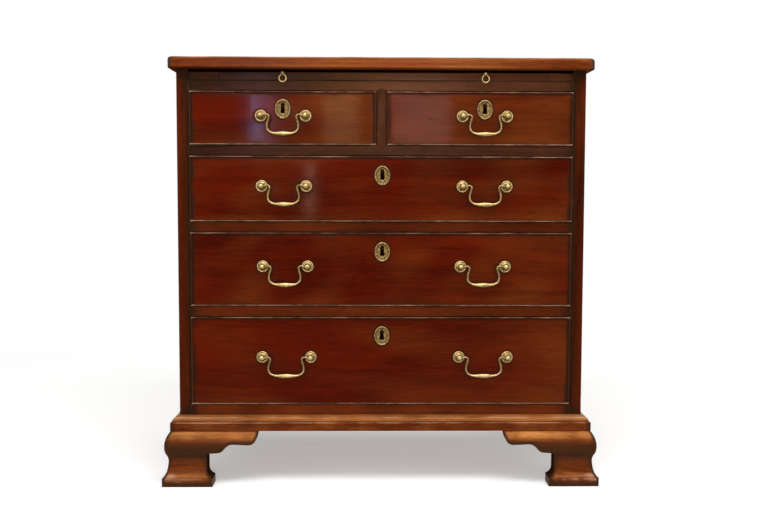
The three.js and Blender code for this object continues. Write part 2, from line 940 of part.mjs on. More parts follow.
const showWood = () => finish(0x5a1f0e, 0.35, 0);
const paleShowWood = () => finish(0x7d3a19, 0.35, 0);
const darkShowWood = () => finish(0x3f1a10, 0.4, 0);
const liningWood = () => finish(0x9a7648, 0.7, 0);
const backWood = () => finish(0x8a6a45, 0.8, 0);
const brass = () => finish(0xb08a45, 0.35, 1);
const iron = () => finish(0x6a6660, 0.5, 1);

// Assembly

const chest = new THREE.Group();

function add(group, name, made, material) {
  const mesh = new THREE.Mesh(geometryOf(made), material);
  mesh.name = name;
  group.add(mesh);
}

const caseGroup = new THREE.Group();
add(caseGroup, "top_board", topBoard(), paleShowWood());
add(caseGroup, "side_left", sideBoard(-1), showWood());
add(caseGroup, "side_right", sideBoard(1), showWood());
add(caseGroup, "back_board_upper", backBoard(true), backWood());
add(caseGroup, "back_board_lower", backBoard(false), backWood());
add(caseGroup, "slide_divider", slideDivider(), darkShowWood());
add(caseGroup, "upper_divider", upperDivider(), darkShowWood());
add(caseGroup, "middle_divider", longDivider(middleBoard), darkShowWood());
add(caseGroup, "lower_divider", longDivider(lowerBoard), darkShowWood());
add(caseGroup, "bottom_board", bottomBoard(), darkShowWood());
add(caseGroup, "drawer_divider", drawerDivider(), darkShowWood());
add(caseGroup, "base_moulding", baseMoulding(), paleShowWood());
for (const [side, sideName] of [
  [-1, "left"],
  [1, "right"],
]) {
  add(caseGroup, `foot_front_${sideName}`, foot(side, true), paleShowWood());
  add(caseGroup, `foot_back_${sideName}`, foot(side, false), paleShowWood());
}
chest.add(caseGroup);

const slideGroup = new THREE.Group();
add(slideGroup, "slide_panel", slidePanel(), darkShowWood());
["left", "right"].forEach((sideName, index) => {
  const x = eyeShares[index] * slideHalf * 2;
  add(slideGroup, `slide_eye_${sideName}`, slideEye(x), brass());
  add(slideGroup, `slide_ring_${sideName}`, slideRing(x), brass());
});
chest.add(slideGroup);

for (const drawer of drawers) {
  const drawerGroup = new THREE.Group();
  add(drawerGroup, `${drawer.name}_front`, drawerFront(drawer), showWood());
  add(drawerGroup, `${drawer.name}_box`, drawerBox(drawer), liningWood());
  add(drawerGroup, `${drawer.name}_lock_bolt`, lockBolt(drawer), iron());
  for (const handle of drawer.handles) {
    add(drawerGroup, `${handle.name}_bail`, bail(drawer, handle), brass());
    add(drawerGroup, `${handle.name}_post_a`, handlePost(drawer, handle, -1), brass());
    add(drawerGroup, `${handle.name}_post_b`, handlePost(drawer, handle, 1), brass());
  }
  chest.add(drawerGroup);
}

export default chest;
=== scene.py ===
"""A bachelor's chest of Georgian pattern, in mahogany with brass handles.

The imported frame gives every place. Sizes here are in metres, +X to the right, +Y to the back, +Z up.
"""

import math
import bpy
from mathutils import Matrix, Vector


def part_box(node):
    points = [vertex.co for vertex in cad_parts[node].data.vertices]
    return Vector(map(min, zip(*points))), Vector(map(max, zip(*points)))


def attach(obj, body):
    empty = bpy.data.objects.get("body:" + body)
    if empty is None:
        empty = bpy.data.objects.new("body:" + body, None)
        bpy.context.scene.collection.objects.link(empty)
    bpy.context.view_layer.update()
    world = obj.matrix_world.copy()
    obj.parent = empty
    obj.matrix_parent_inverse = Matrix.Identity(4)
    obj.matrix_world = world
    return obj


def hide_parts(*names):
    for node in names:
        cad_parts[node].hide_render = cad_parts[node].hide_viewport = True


bl_info = {
    "name": "Bachelor's chest",
    "version": (1, 0, 0),
    "blender": (4, 5, 0),
    "location": "View3D > Sidebar > Chest",
    "description": "Builds a bachelor's chest with a brushing slide, piece by piece",
    "category": "Add Mesh",
}

import zlib
from functools import cache

import bmesh
import bpy
import numpy as np
from bpy.props import FloatProperty, FloatVectorProperty, PointerProperty
from mathutils import Matrix, Vector

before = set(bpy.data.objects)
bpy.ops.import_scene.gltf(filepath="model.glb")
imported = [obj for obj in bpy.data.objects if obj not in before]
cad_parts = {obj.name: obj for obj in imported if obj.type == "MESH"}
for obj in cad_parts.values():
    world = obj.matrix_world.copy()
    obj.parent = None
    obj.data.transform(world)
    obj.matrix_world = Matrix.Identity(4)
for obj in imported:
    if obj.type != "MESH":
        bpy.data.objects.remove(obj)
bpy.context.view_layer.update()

MM = 0.001
SIDES = {"left": -1, "right": 1}
SHORT_DRAWERS = ("short_left", "short_right")
LONG_DRAWERS = ("long_upper", "long_middle", "long_lower")
DRAWERS = SHORT_DRAWERS + LONG_DRAWERS
ALONG_X, ALONG_Y, ALONG_Z = 0, 1, 2

# Places from the frame
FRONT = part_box("side_left")[0].y
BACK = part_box("side_left")[1].y
BACK_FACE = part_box("back_board_upper")[0].y
HALF_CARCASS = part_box("side_right")[1].x
INNER_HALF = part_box("side_right")[0].x
FOOT_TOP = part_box("base_moulding")[0].z
MOULDING_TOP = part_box("base_moulding")[1].z
TOP_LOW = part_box("slide_panel")[1].z
SLIDE_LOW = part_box("slide_panel")[0].z

# The gap that the CAD model keeps between pieces, and how far a cutter runs past what it cuts
SEAT_GAP = 0.3 * MM
SLIDE_GAP = 0.5 * MM
PAST = 3 * MM
FAR_PAST = 5 * MM


# Sizes and colours that a user would change


def length(name, description, default):
    return FloatProperty(
        name=name, description=description, default=default, unit="LENGTH", subtype="DISTANCE"
    )


def colour(name, description, default):
    return FloatVectorProperty(
        name=name, description=description, default=default, size=3, min=0, max=1, subtype="COLOR"
    )


class ChestWoodSizes(bpy.types.PropertyGroup):
    """Sizes of the chest's wooden pieces."""

    arris: length("Arris", "Radius of a board's worn edge", 0.9 * MM)
    cell: length("Cell", "Widest step between a show board's points", 14 * MM)
    top_arris: length("Top's upper arris", "Radius of the top board's upper edge", 6.5 * MM)
    top_corner: length("Top's corner", "Radius of the top board's front corners, in plan", 15 * MM)
    rail_depth: length("Rail depth", "Depth of the mahogany edge on a dust board", 62 * MM)
    bead: length("Bead", "Thickness of a cock bead", 3.2 * MM)
    bead_depth: length("Bead depth", "Depth of a cock bead, its nose included", 12.4 * MM)
    lining: length("Lining", "Thickness of a drawer's sides and back", 9 * MM)
    foot_length: length("Foot length", "Length of a bracket foot, from its pad's outer face", 182 * MM)
    clamp: length("Clamp", "Width of the clamps on the brushing slide", 58 * MM)


class ChestBrassSizes(bpy.types.PropertyGroup):
    """Sizes of the chest's brass."""

    rose: length("Rose", "Radius of a handle's rose", 11 * MM)
    ball: length("Ball", "Radius of a handle's ball", 6 * MM)
    wire: length("Wire", "Radius of a bail's neck", 1.9 * MM)
    grip: length("Grip", "Radius of a bail's grip", 4.5 * MM)
    plate_width: length("Plate width", "Width of a keyhole plate", 29.4 * MM)
    plate_height: length("Plate height", "Height of a keyhole plate", 37.3 * MM)
    plate_thickness: length("Plate thickness", "Thickness of a keyhole plate's rim", 1.5 * MM)
    pin: length("Pin", "Radius of a keyhole plate's pin", 0.9 * MM)


class ChestFinishes(bpy.types.PropertyGroup):
    """Colours of the chest's woods and metals."""

    front_dark: colour("Front, dark", "Dark figure of the drawer fronts", (0.040, 0.0026, 0.0003))
    front_light: colour("Front, light", "Light figure of the drawer fronts", (0.099, 0.0070, 0.0005))
    # front_faded also stands for a painted reflected haze on the right of the drawer fronts
    front_faded: colour("Front, faded", "Drawer fronts where the sun has faded them", (0.150, 0.038, 0.0065))
    case_dark: colour("Case, dark", "Dark figure of the case", (0.018, 0.0030, 0.0010))
    case_light: colour("Case, light", "Light figure of the case", (0.063, 0.0088, 0.0018))
    # case_faded also lights the outer strip of each stile, as painted light
    case_faded: colour("Case, faded", "The case where the sun has faded it", (0.150, 0.027, 0.0060))
    edge_dark: colour("Mouldings, dark", "Dark figure of the top, moulding and feet", (0.062, 0.0080, 0.0008))
    edge_light: colour("Mouldings, light", "Light figure of the top, moulding and feet", (0.15, 0.027, 0.003))
    # edge_faded is also the colour of painted highlights on the moulding's slope and on the feet's crests and
    # flares
    edge_faded: colour("Mouldings, faded", "Mouldings bleached by light and hands", (0.56, 0.225, 0.056))
    bead_dark: colour("Beads, dark", "Dark figure of the cock beads", (0.014, 0.0050, 0.0022))
    bead_light: colour("Beads, light", "Light figure of the cock beads", (0.056, 0.0145, 0.0055))
    # bead_faded is the colour of the painted sheen on the top rails and the slide
    bead_faded: colour("Beads, faded", "Top rails and slide where light has faded them", (0.165, 0.06, 0.026))
    # The worn colour also paints highlights
    worn: colour("Worn", "Wood where its polish has worn away", (0.42, 0.225, 0.14))
    # This colour also paints shade, wherever painted shade is marked
    grime_and_shade: colour("Grime and shade", "Old wax and dirt in the corners", (0.016, 0.0092, 0.0040))
    oak: colour("Oak", "Drawer linings", (0.37, 0.182, 0.075))
    pine: colour("Pine", "Back, dust boards and glue blocks", (0.37, 0.190, 0.085))
    brass: colour("Brass", "Handles and plates", (0.52, 0.38, 0.165))
    tarnish: colour("Tarnish", "Brass that has darkened", (0.072, 0.036, 0.007))
    iron: colour("Iron", "Locks, screws and nails", (0.060, 0.052, 0.046))


# Points and faces


def ripple(points, wavelength, seed, waves=6):
    """A value from about -1 to 1 at each point that wanders smoothly, from a few crossed waves."""
    draw = np.random.default_rng(seed)
    total = np.zeros(len(points))
    for _ in range(waves):
        way = draw.normal(size=3)
        way /= np.linalg.norm(way)
        wave = wavelength * draw.uniform(0.6, 1.7)
        total += np.sin(points @ way * (math.tau / wave) + draw.uniform(0, math.tau))
    return total / waves * 2


def patches(points, wavelength, seed):
    """A value from 0 to 1 at each point that wanders smoothly."""
    return 0.5 + 0.5 * np.clip(ripple(points, wavelength, seed), -1, 1)


def held(values):
    """The values, none below 0 or above 1."""
    return np.clip(values, 0, 1)


def near(distance, reach):
    """1 where the distance is nothing or less, falling away smoothly over the reach."""
    return np.exp(-np.maximum(distance, 0) / reach)


def bell(distance, reach):
    """1 where the distance is nothing, falling away to both sides over the reach."""
    return np.exp(-((distance / reach) ** 2))


def in_metres(outline):
    return [(radius * MM, rise * MM) for radius, rise in outline]


def arc(centre, radius, start, end, steps):
    """Points on an arc, with its angles in degrees."""
    angles = [math.radians(start + (end - start) * step / steps) for step in range(steps + 1)]
    return [(centre[0] + radius * math.cos(a), centre[1] + radius * math.sin(a)) for a in angles]


def bezier(points, steps):
    """Points on a curve of two, three or four control points, without its first."""
    made = []
    for step in range(1, steps + 1):
        level = [Vector(p) for p in points]
        while len(level) > 1:
            level = [a.lerp(b, step / steps) for a, b in zip(level, level[1:])]
        made.append(tuple(level[0]))
    return made


def seed_of(name):
    return zlib.crc32(name.encode())


def new_object(name, data):
    piece = bpy.data.objects.new(name, data)
    bpy.context.scene.collection.objects.link(piece)
    return piece


def new_mesh(name, points, faces=(), edges=()):
    mesh = bpy.data.meshes.new(name)
    mesh.from_pydata([tuple(p) for p in points], list(edges), [tuple(int(i) for i in f) for f in faces])
    return mesh


def mesh_piece(name, points, faces, sharp=40):
    """An object at the origin with its place in its mesh, smooth but for edges past the sharp angle."""
    return new_object(name, tidy_mesh(new_mesh(name, points, faces), sharp))


def tidy_mesh(mesh, sharp=40, doubles=2e-6):
    """Merges doubles, turns the faces outwards and sets the shading."""
    work = bmesh.new()
    work.from_mesh(mesh)
    bmesh.ops.remove_doubles(work, verts=work.verts, dist=doubles)
    bmesh.ops.recalc_face_normals(work, faces=work.faces)
    work.to_mesh(mesh)
    work.free()
    return shaded(mesh, sharp)


def shaded(mesh, sharp):
    mesh.shade_smooth()
    mesh.set_sharp_from_angle(angle=math.radians(sharp))
    return mesh


def settled(piece, sharp=40):
    """The piece with its modifiers worked into a plain mesh."""
    graph = bpy.context.evaluated_depsgraph_get()
    mesh = bpy.data.meshes.new_from_object(piece.evaluated_get(graph), depsgraph=graph)
    piece.modifiers.clear()
    old = piece.data
    piece.data = mesh
    mesh.name = piece.name
    if old.users == 0:
        bpy.data.meshes.remove(old)
    if sharp:
        shaded(mesh, sharp)
    return piece


def cut(piece, cutters, sharp=40):
    """The piece less the cutters, which are used up."""
    for cutter in cutters:
        modifier = piece.modifiers.new("cut", "BOOLEAN")
        modifier.operation = "DIFFERENCE"
        modifier.solver = "EXACT"
        modifier.object = cutter
    bpy.context.view_layer.update()
    settled(piece, sharp)
    for cutter in cutters:
        mesh = cutter.data
        bpy.data.objects.remove(cutter)
        bpy.data.meshes.remove(mesh)
    return piece


def bevelled(piece, width, segments):
    """The piece with every arris taken off."""
    modifier = piece.modifiers.new("arris", "BEVEL")
    modifier.width = width
    modifier.segments = segments
    return settled(piece)


def values_of(items, field, size=1):
    """What a list of mesh items holds in a field, as one flat array."""
    found = np.empty(len(items) * size, np.float32)
    items.foreach_get(field, found)
    return found.astype(float)


def points_of(piece):
    return values_of(piece.data.vertices, "co", 3).reshape(-1, 3)


def move_points(piece, points):
    piece.data.vertices.foreach_set("co", np.asarray(points, np.float32).ravel())


# Boards

ARRIS_STEPS = 2
LINE_GROWTH = 1.9
LEAST_LINE = 0.6 * MM


def side_lines(span, radius, cell):
    """Places across a board: close together in its arris, wider apart towards its middle."""
    size = span[1] - span[0]
    shares = [1 - math.tan(math.pi / 4 * (1 - step / ARRIS_STEPS)) for step in range(ARRIS_STEPS + 1)]
    outer = [radius * share for share in shares]
    step = max(radius, LEAST_LINE)
    while step < cell and outer[-1] + step * 2 < size / 2:
        outer.append(outer[-1] + step)
        step *= LINE_GROWTH
    middle = size - outer[-1] * 2
    count = max(1, math.ceil(middle / cell))
    inner = [outer[-1] + middle * i / count for i in range(1, count)]
    return span[0] + np.array(outer + inner + [size - place for place in reversed(outer)])


def shell(lines):
    """The skin of a block cut along three sets of places: its points, and its faces turned outwards."""
    sizes = tuple(len(places) for places in lines)
    on_skin = np.zeros(sizes, bool)
    for axis in range(3):
        skin = np.moveaxis(on_skin, axis, 0)
        skin[0] = True
        skin[-1] = True
    number = -np.ones(sizes, int)
    number[on_skin] = np.arange(on_skin.sum())
    points = np.stack(np.meshgrid(*lines, indexing="ij"), axis=-1)[on_skin]
    faces = []
    for axis in range(3):
        for end in (0, -1):
            sheet = number.take(end, axis=axis)
            around = [sheet[:-1, :-1], sheet[1:, :-1], sheet[1:, 1:], sheet[:-1, 1:]]
            quads = np.stack(around, axis=-1).reshape(-1, 4)
            outwards = (end == -1) != (axis == ALONG_Y)
            faces.append(quads if outwards else quads[:, ::-1])
    return points, np.concatenate(faces)


def rounded(points, low, high, radius):
    """Points on a block's skin with its arrises rounded, to a radius that may change from point to point."""
    inner = np.clip(points, low + radius, high - radius)
    away = points - inner
    size = np.linalg.norm(away, axis=1, keepdims=True)
    return inner + away / np.maximum(size, 1e-9) * radius


def arris_gap(points, low, high):
    """How far each point of a block's skin is from the nearest arris."""
    gaps = np.minimum(points - low, high - points)
    return np.sort(np.maximum(gaps, 0), axis=1)[:, 1]


def spread(values, name, piece, kind="FLOAT"):
    """Writes a value, or a vector, for each point of the piece."""
    mesh = piece.data
    old = mesh.attributes.get(name)
    if old:
        mesh.attributes.remove(old)
    made = mesh.attributes.new(name, kind, "POINT")
    field = "vector" if kind == "FLOAT_VECTOR" else "value"
    made.data.foreach_set(field, np.ravel(values).astype(np.float32))


def paint(piece, grain, worn=0.0, dirt=0.0, fade=0.0, points=None):
    """Gives the piece what its wood reads: grain as places along, across and through the board; how worn it
    is, with painted highlights; how dirty, with painted shade; and how faded, with painted highlights and
    sheen; each from 0 to 1."""
    points = points_of(piece) if points is None else points
    order = [grain] + [axis for axis in (ALONG_X, ALONG_Z, ALONG_Y) if axis != grain]
    offset = np.random.default_rng(seed_of(piece.name)).uniform(0, 20, 3)
    spread(points[:, order] + offset, "grain", piece, "FLOAT_VECTOR")
    for name, values in (("worn", worn), ("dirt", dirt), ("fade", fade)):
        spread(np.broadcast_to(held(values), len(points)), name, piece)
    return piece


WORN_REACH = 1.6 * MM
UNEVEN_ARRIS = 0.45
ARRIS_WAVE = 60 * MM


def board(name, low, high, grain, arris=None, cell=None, wear=0.55, dirt=None, fade=None, cutters=()):
    """A board with worn arrises. Its dirt and painted shade, and its fading and painted highlights, are
    functions of its points.
    """
    wood = bpy.context.scene.chest_wood
    arris = wood.arris if arris is None else arris
    cell = wood.cell if cell is None else cell
    low, high = np.array(low, float), np.array(high, float)
    arris = min(arris, (high - low).min() / 2.2)
    points, faces = shell([side_lines((low[axis], high[axis]), arris, cell) for axis in range(3)])
    radius = arris * (1 - UNEVEN_ARRIS * patches(points, ARRIS_WAVE, seed_of(name)))
    piece = mesh_piece(name, rounded(points, low, high, radius[:, None]), faces)
    if cutters:
        cut(piece, cutters)
    points = points_of(piece)
    worn = wear * near(arris_gap(points, low, high), WORN_REACH)
    return paint(piece, grain, worn, dirt(points) if dirt else 0.0, fade(points) if fade else 0.0, points)


def fitted(name, low, high, grain, body, kind, *stands_for, **looks):
    """A board, seated on its body."""
    return seat(board(name, low, high, grain, **looks), body, kind, *stands_for)


# Lengths with a moulded outline


def strip(name, outline, place_a, place_b, cell):
    """A length with one outline, from place_a to place_b, each of which puts an outline point in space.
    Outline points are (out, up, wear with painted highlight). Its ends are closed."""
    first, last = (np.array([place(p[0], p[1]) for p in outline]) for place in (place_a, place_b))
    count = max(1, math.ceil(np.linalg.norm(first[0] - last[0]) / cell))
    share = np.arange(count + 1) / count
    points = (first[None] * (1 - share[:, None, None]) + last[None] * share[:, None, None]).reshape(-1, 3)
    around = len(outline)
    faces = []
    for here in range(0, count * around, around):
        for i in range(around):
            j = (i + 1) % around
            faces.append((here + i, here + j, here + around + j, here + around + i))
    faces.append(range(around))
    faces.append(range(count * around, (count + 1) * around))
    piece = new_object(name, new_mesh(name, points, faces))
    spread(np.tile([p[2] for p in outline], count + 1), "worn", piece)
    tidy_mesh(piece.data, 50)
    return piece


def worn_and_highlight_of(piece):
    return values_of(piece.data.attributes["worn"].data, "value")


# Turned and wound pieces


def turned(name, profile, centre, steps=48, axis=ALONG_Y, sharp=45):
    """A profile of (radius, distance) points turned about an axis, with distance towards -Y, or +Z or +X."""
    points, faces, rings = [], [], []
    for radius, distance in profile:
        around = steps if radius else 1
        rings.append([len(points) + step % around for step in range(steps + 1)])
        for step in range(around):
            angle = math.tau * step / steps
            points.append((radius * math.cos(angle), radius * math.sin(angle), distance))
    for low, high in zip(rings, rings[1:]):
        faces += [tuple(dict.fromkeys(corners)) for corners in zip(low, low[1:], high[1:], high)]
    points = np.array(points)
    if axis == ALONG_Y:
        points = np.stack([points[:, 0], -points[:, 2], points[:, 1]], axis=1)
    elif axis == ALONG_X:
        points = np.stack([points[:, 2], points[:, 1], points[:, 0]], axis=1)
    return mesh_piece(name, points + np.array(centre), faces, sharp)


def extruded(name, outline, span, axis=ALONG_Y, sharp=40):
    """A flat outline made solid, drawn in X and Z for a span along Y, and in Y and Z for one along X."""
    count = len(outline)
    points = [(a, place, b) if axis == ALONG_Y else (place, a, b) for place in span for a, b in outline]
    faces = [tuple(range(count)), tuple(range(count, count * 2))]
    faces += [(i, (i + 1) % count, count + (i + 1) % count, count + i) for i in range(count)]
    return mesh_piece(name, points, faces, sharp)


def box_cutter(x, y, z):
    points = [(a, b, c) for a in x for b in y for c in z]
    faces = [(0, 1, 3, 2), (4, 6, 7, 5), (0, 4, 5, 1), (2, 3, 7, 6), (0, 2, 6, 4), (1, 5, 7, 3)]
    return mesh_piece("cutter", points, faces)


# Node trees


class Sums:
    """Adds nodes to a tree and links them, so that a tree reads as a list of steps."""

    def __init__(self, tree):
        self.tree = tree

    def add(self, kind, sockets=None, **settings):
        node = self.tree.nodes.new(kind)
        for key, value in settings.items():
            setattr(node, key, value)
        for socket, value in (sockets or {}).items():
            self.put(node.inputs[socket], value)
        return node

    def of(self, kind, sockets=None, **settings):
        """What a new node puts out first."""
        return self.add(kind, sockets, **settings).outputs[0]

    def put(self, socket, value):
        if isinstance(value, bpy.types.NodeSocket):
            self.tree.links.new(value, socket)
        else:
            socket.default_value = value

    def math(self, operation, first, second, clamp=False):
        return self.of("ShaderNodeMath", {0: first, 1: second}, operation=operation, use_clamp=clamp)

    def plus(self, first, second, clamp=False):
        return self.math("ADD", first, second, clamp)

    def less(self, first, second):
        return self.math("SUBTRACT", first, second)

    def times(self, first, second):
        return self.math("MULTIPLY", first, second)

    def vector(self, **parts):
        return self.of("ShaderNodeCombineXYZ", parts)

    def noise(self, vector, scales, detail=3.0, roughness=0.55, distortion=0.0, turn=(0, 0, 0)):
        placed = self.of("ShaderNodeMapping", {"Vector": vector, "Rotation": turn, "Scale": scales})
        sockets = {"Vector": placed, "Scale": 1.0, "Detail": detail, "Roughness": roughness}
        sockets["Distortion"] = distortion
        return self.add("ShaderNodeTexNoise", sockets).outputs["Fac"]

    def ramp(self, value, low, high, start=0.0, end=1.0):
        sockets = {"Value": value, "From Min": low, "From Max": high, "To Min": start, "To Max": end}
        return self.of("ShaderNodeMapRange", sockets, interpolation_type="SMOOTHSTEP")

    def mix(self, share, first, second):
        node = self.add("ShaderNodeMix", {0: share}, data_type="RGBA", clamp_factor=True)
        colours = [socket for socket in node.inputs if socket.type == "RGBA"]
        for socket, value in zip(colours, (first, second)):
            self.put(socket, value)
        return next(socket for socket in node.outputs if socket.type == "RGBA")

    def placed(self, tree, sockets):
        return self.add("ShaderNodeGroup", sockets, node_tree=tree).outputs

    def read(self, name, output="Fac"):
        return self.add("ShaderNodeAttribute", attribute_name=name).outputs[output]

    def named(self, name, kind="FLOAT"):
        return self.of("GeometryNodeInputNamedAttribute", {"Name": name}, data_type=kind)


def group(name, kind, inputs, outputs):
    """A new tree, as its sums, its inputs and its end. Each input has its socket's type or, for a number,
    its first value."""
    tree = bpy.data.node_groups.new(name, kind)
    for label, value in inputs.items():
        socket_type = value if isinstance(value, str) else {int: "Int", float: "Float"}[type(value)]
        socket = tree.interface.new_socket(label, in_out="INPUT", socket_type=f"NodeSocket{socket_type}")
        if not isinstance(value, str):
            socket.default_value = value
    for label, socket_type in outputs.items():
        tree.interface.new_socket(label, in_out="OUTPUT", socket_type=f"NodeSocket{socket_type}")
    sums = Sums(tree)
    start = sums.add("NodeGroupInput")
    return sums, start.outputs, sums.add("NodeGroupOutput").inputs


def opaque(rgb):
    return (*rgb, 1.0)


BLACK = (0.0, 0.0, 0.0, 1.0)
WHITE = (1.0, 1.0, 1.0, 1.0)


@cache
def grain_group():
    """Timber with the grain along the first axis of its vector: streaks, drift, slanting figure and pores."""
    inputs = {"Vector": "Vector", "Dark": "Color", "Light": "Color"}
    inputs |= {"Streaks": 1.0, "Flecks": 0.5, "Figure": 0.5, "Pores": 0.5}
    outputs = {"Colour": "Color", "Height": "Float"}
    sums, given, out = group("Timber grain", "ShaderNodeTree", inputs, outputs)
    vector = given["Vector"]
    drift = sums.noise(vector, (2.2, 9, 9), 2.0)
    bend = sums.noise(vector, (2.5, 5, 5), 1.0)
    bent = sums.vector(Y=sums.times(bend, 0.05))
    curved = sums.of("ShaderNodeVectorMath", {0: vector, 1: bent}, operation="ADD")
    streaks = sums.noise(curved, (1.6, 85, 85), 5.0, 0.62, 0.1)
    flecks = sums.noise(curved, (34, 420, 420), 3.0, 0.6)
    fibres = sums.noise(curved, (9, 900, 900), 2.0)
    figure = sums.noise(vector, (5, 26, 14), 2.0, 0.5, 0.6, turn=(0, 0, 0.5))
    pores = sums.ramp(sums.noise(curved, (85, 2300, 2300), 1.0), 0.60, 0.72)
    shade = sums.times(sums.less(drift, 0.5), 0.8)
    fields = {"Streaks": streaks, "Flecks": flecks, "Figure": figure}
    weighted = [(field, given[name]) for name, field in fields.items()] + [(fibres, 0.3)]
    for field, weight in weighted:
        shade = sums.plus(shade, sums.times(sums.less(field, 0.5), weight))
    shade = sums.ramp(shade, -0.36, 0.36)
    plain = sums.mix(shade, given["Dark"], given["Light"])
    dimmed = sums.times(pores, given["Pores"])
    sums.put(out["Colour"], sums.mix(dimmed, plain, sums.mix(0.75, plain, BLACK)))
    sums.put(out["Height"], sums.less(sums.times(fibres, 0.3), dimmed))
    return sums.tree


@cache
def wear_group():
    """An old polished surface: worn arrises and painted highlights show a pale colour, and dirt and painted
    shade a dark one.
    """
    inputs = {"Vector": "Vector", "Colour": "Color", "Worn": 0.0, "Dirt": 0.0}
    inputs |= {"Worn colour": "Color", "Dirt colour": "Color", "Wear": 1.0, "Gloss": 0.3}
    outputs = {"Colour": "Color", "Roughness": "Float", "Height": "Float"}
    sums, given, out = group("Wear and dirt", "ShaderNodeTree", inputs, outputs)
    patchy = sums.noise(given["Vector"], (45, 260, 260), 4.0, 0.65)
    clouds = sums.noise(given["Vector"], (30, 40, 40), 4.0, 0.6)
    rubbed = sums.times(given["Worn"], given["Wear"])
    worn = sums.ramp(sums.plus(rubbed, sums.times(patchy, 0.7)), 0.62, 1.12)
    worn = sums.times(worn, sums.ramp(rubbed, 0.0, 0.22))
    dirt = sums.ramp(sums.plus(given["Dirt"], sums.times(clouds, 0.5)), 0.38, 1.05)
    dirt = sums.times(dirt, sums.ramp(given["Dirt"], 0.0, 0.2))
    dirtied = sums.mix(sums.times(dirt, 0.85), given["Colour"], given["Dirt colour"])
    sums.put(out["Colour"], sums.mix(sums.times(worn, 0.8), dirtied, given["Worn colour"]))
    rough = sums.plus(given["Gloss"], sums.times(sums.less(clouds, 0.5), given["Gloss"]))
    rough = sums.plus(rough, sums.times(dirt, 0.28))
    sums.put(out["Roughness"], sums.plus(rough, sums.times(worn, 0.08), clamp=True))
    sums.put(out["Height"], sums.times(sums.less(clouds, patchy), 0.4))
    return sums.tree


@cache
def tarnish_group():
    """Old brass: bright where hands rub it and where a painted highlight falls, brown in the hollows, with
    fine scratches.
    """
    inputs = {"Vector": "Vector", "Bright": "Color", "Dark": "Color", "Worn": 0.5, "Gloss": 0.25}
    outputs = {"Colour": "Color", "Roughness": "Float", "Height": "Float"}
    sums, given, out = group("Tarnish", "ShaderNodeTree", inputs, outputs)
    clouds = sums.noise(given["Vector"], (260, 260, 260), 4.0, 0.6)
    specks = sums.noise(given["Vector"], (1500, 1500, 1500), 2.0)
    scratches = sums.noise(given["Vector"], (350, 2600, 2600), 2.0)
    share = sums.ramp(sums.plus(given["Worn"], sums.less(clouds, 0.5)), 0.1, 0.9)
    mixed = sums.mix(share, given["Dark"], given["Bright"])
    sums.put(out["Colour"], sums.mix(sums.ramp(specks, 0.62, 0.8, 0.0, 0.5), mixed, given["Dark"]))
    rough = sums.plus(given["Gloss"], sums.times(sums.less(1.0, share), 0.3))
    sums.put(out["Roughness"], sums.plus(rough, sums.times(clouds, 0.1), clamp=True))
    sums.put(out["Height"], sums.plus(scratches, sums.times(clouds, 0.5)))
    return sums.tree


def start_material(name):
    material = bpy.data.materials.new(name)
    material.use_nodes = True
    material.node_tree.nodes.clear()
    sums = Sums(material.node_tree)
    shader = sums.add("ShaderNodeBsdfPrincipled")
    sums.add("ShaderNodeOutputMaterial", {"Surface": shader.outputs["BSDF"]})
    return material, sums, shader.inputs


def coat(sums, shader, surface, height, relief, depth):
    """Gives a shader its surface's colour and roughness, and a bump as deep as this."""
    sums.put(shader["Base Color"], surface["Colour"])
    sums.put(shader["Roughness"], surface["Roughness"])
    bump = {"Height": height, "Strength": relief, "Distance": depth}
    sums.put(shader["Normal"], sums.of("ShaderNodeBump", bump))


FIGURE = ("Streaks", "Flecks", "Figure", "Pores")
SURFACE = ("Wear", "Gloss")
# Each kind of wood: its timber, the strengths of its figure and its surface, its shine and its relief
WOODS = {
    "front": ("front", (0.5, 0.7, 0.7, 0.45), (1.0, 0.07), 0.02, 0.02),
    "bead": ("bead", (0.5, 0.5, 0.2, 0.4), (0.88, 0.3), 0.06, 0.1),
    "case": ("case", (0.8, 0.6, 0.4, 0.4), (0.8, 0.18), 0.032, 0.08),
    # bloom is the finish of the top rails and the slide, which carry a painted sheen
    "bloom": ("bead", (0.8, 0.6, 0.4, 0.4), (0.8, 0.18), 0.032, 0.08),
    "edge": ("edge", (1.0, 1.2, 0.7, 0.6), (1.0, 0.24), 0.24, 0.12),
    "top": ("edge", (1.0, 1.2, 0.7, 0.6), (1.0, 0.32), 0.03, 0.1),
    "raw": ("edge", (0.8, 0.8, 0.3, 0.6), (0.3, 0.8), 0.0, 0.3),
    "oak": ("oak", (1.0, 0.9, 0.3, 0.8), (0.4, 0.62), 0.05, 0.3),
    "pine": ("pine", (1.4, 0.4, 0.2, 0.2), (0.4, 0.75), 0.04, 0.35),
}
POLISH_TINT = {
    "edge": (1.0, 0.42, 0.2),
    "bead": (1.0, 0.75, 0.6),
    "case": (1.0, 0.5, 0.25),
    "bloom": (1.0, 0.8, 0.55),
    "top": (1.0, 0.5, 0.3),
}
DARK_SHARE = 0.55
WOOD_RELIEF = 0.2 * MM
METAL_RELIEF = 0.1 * MM


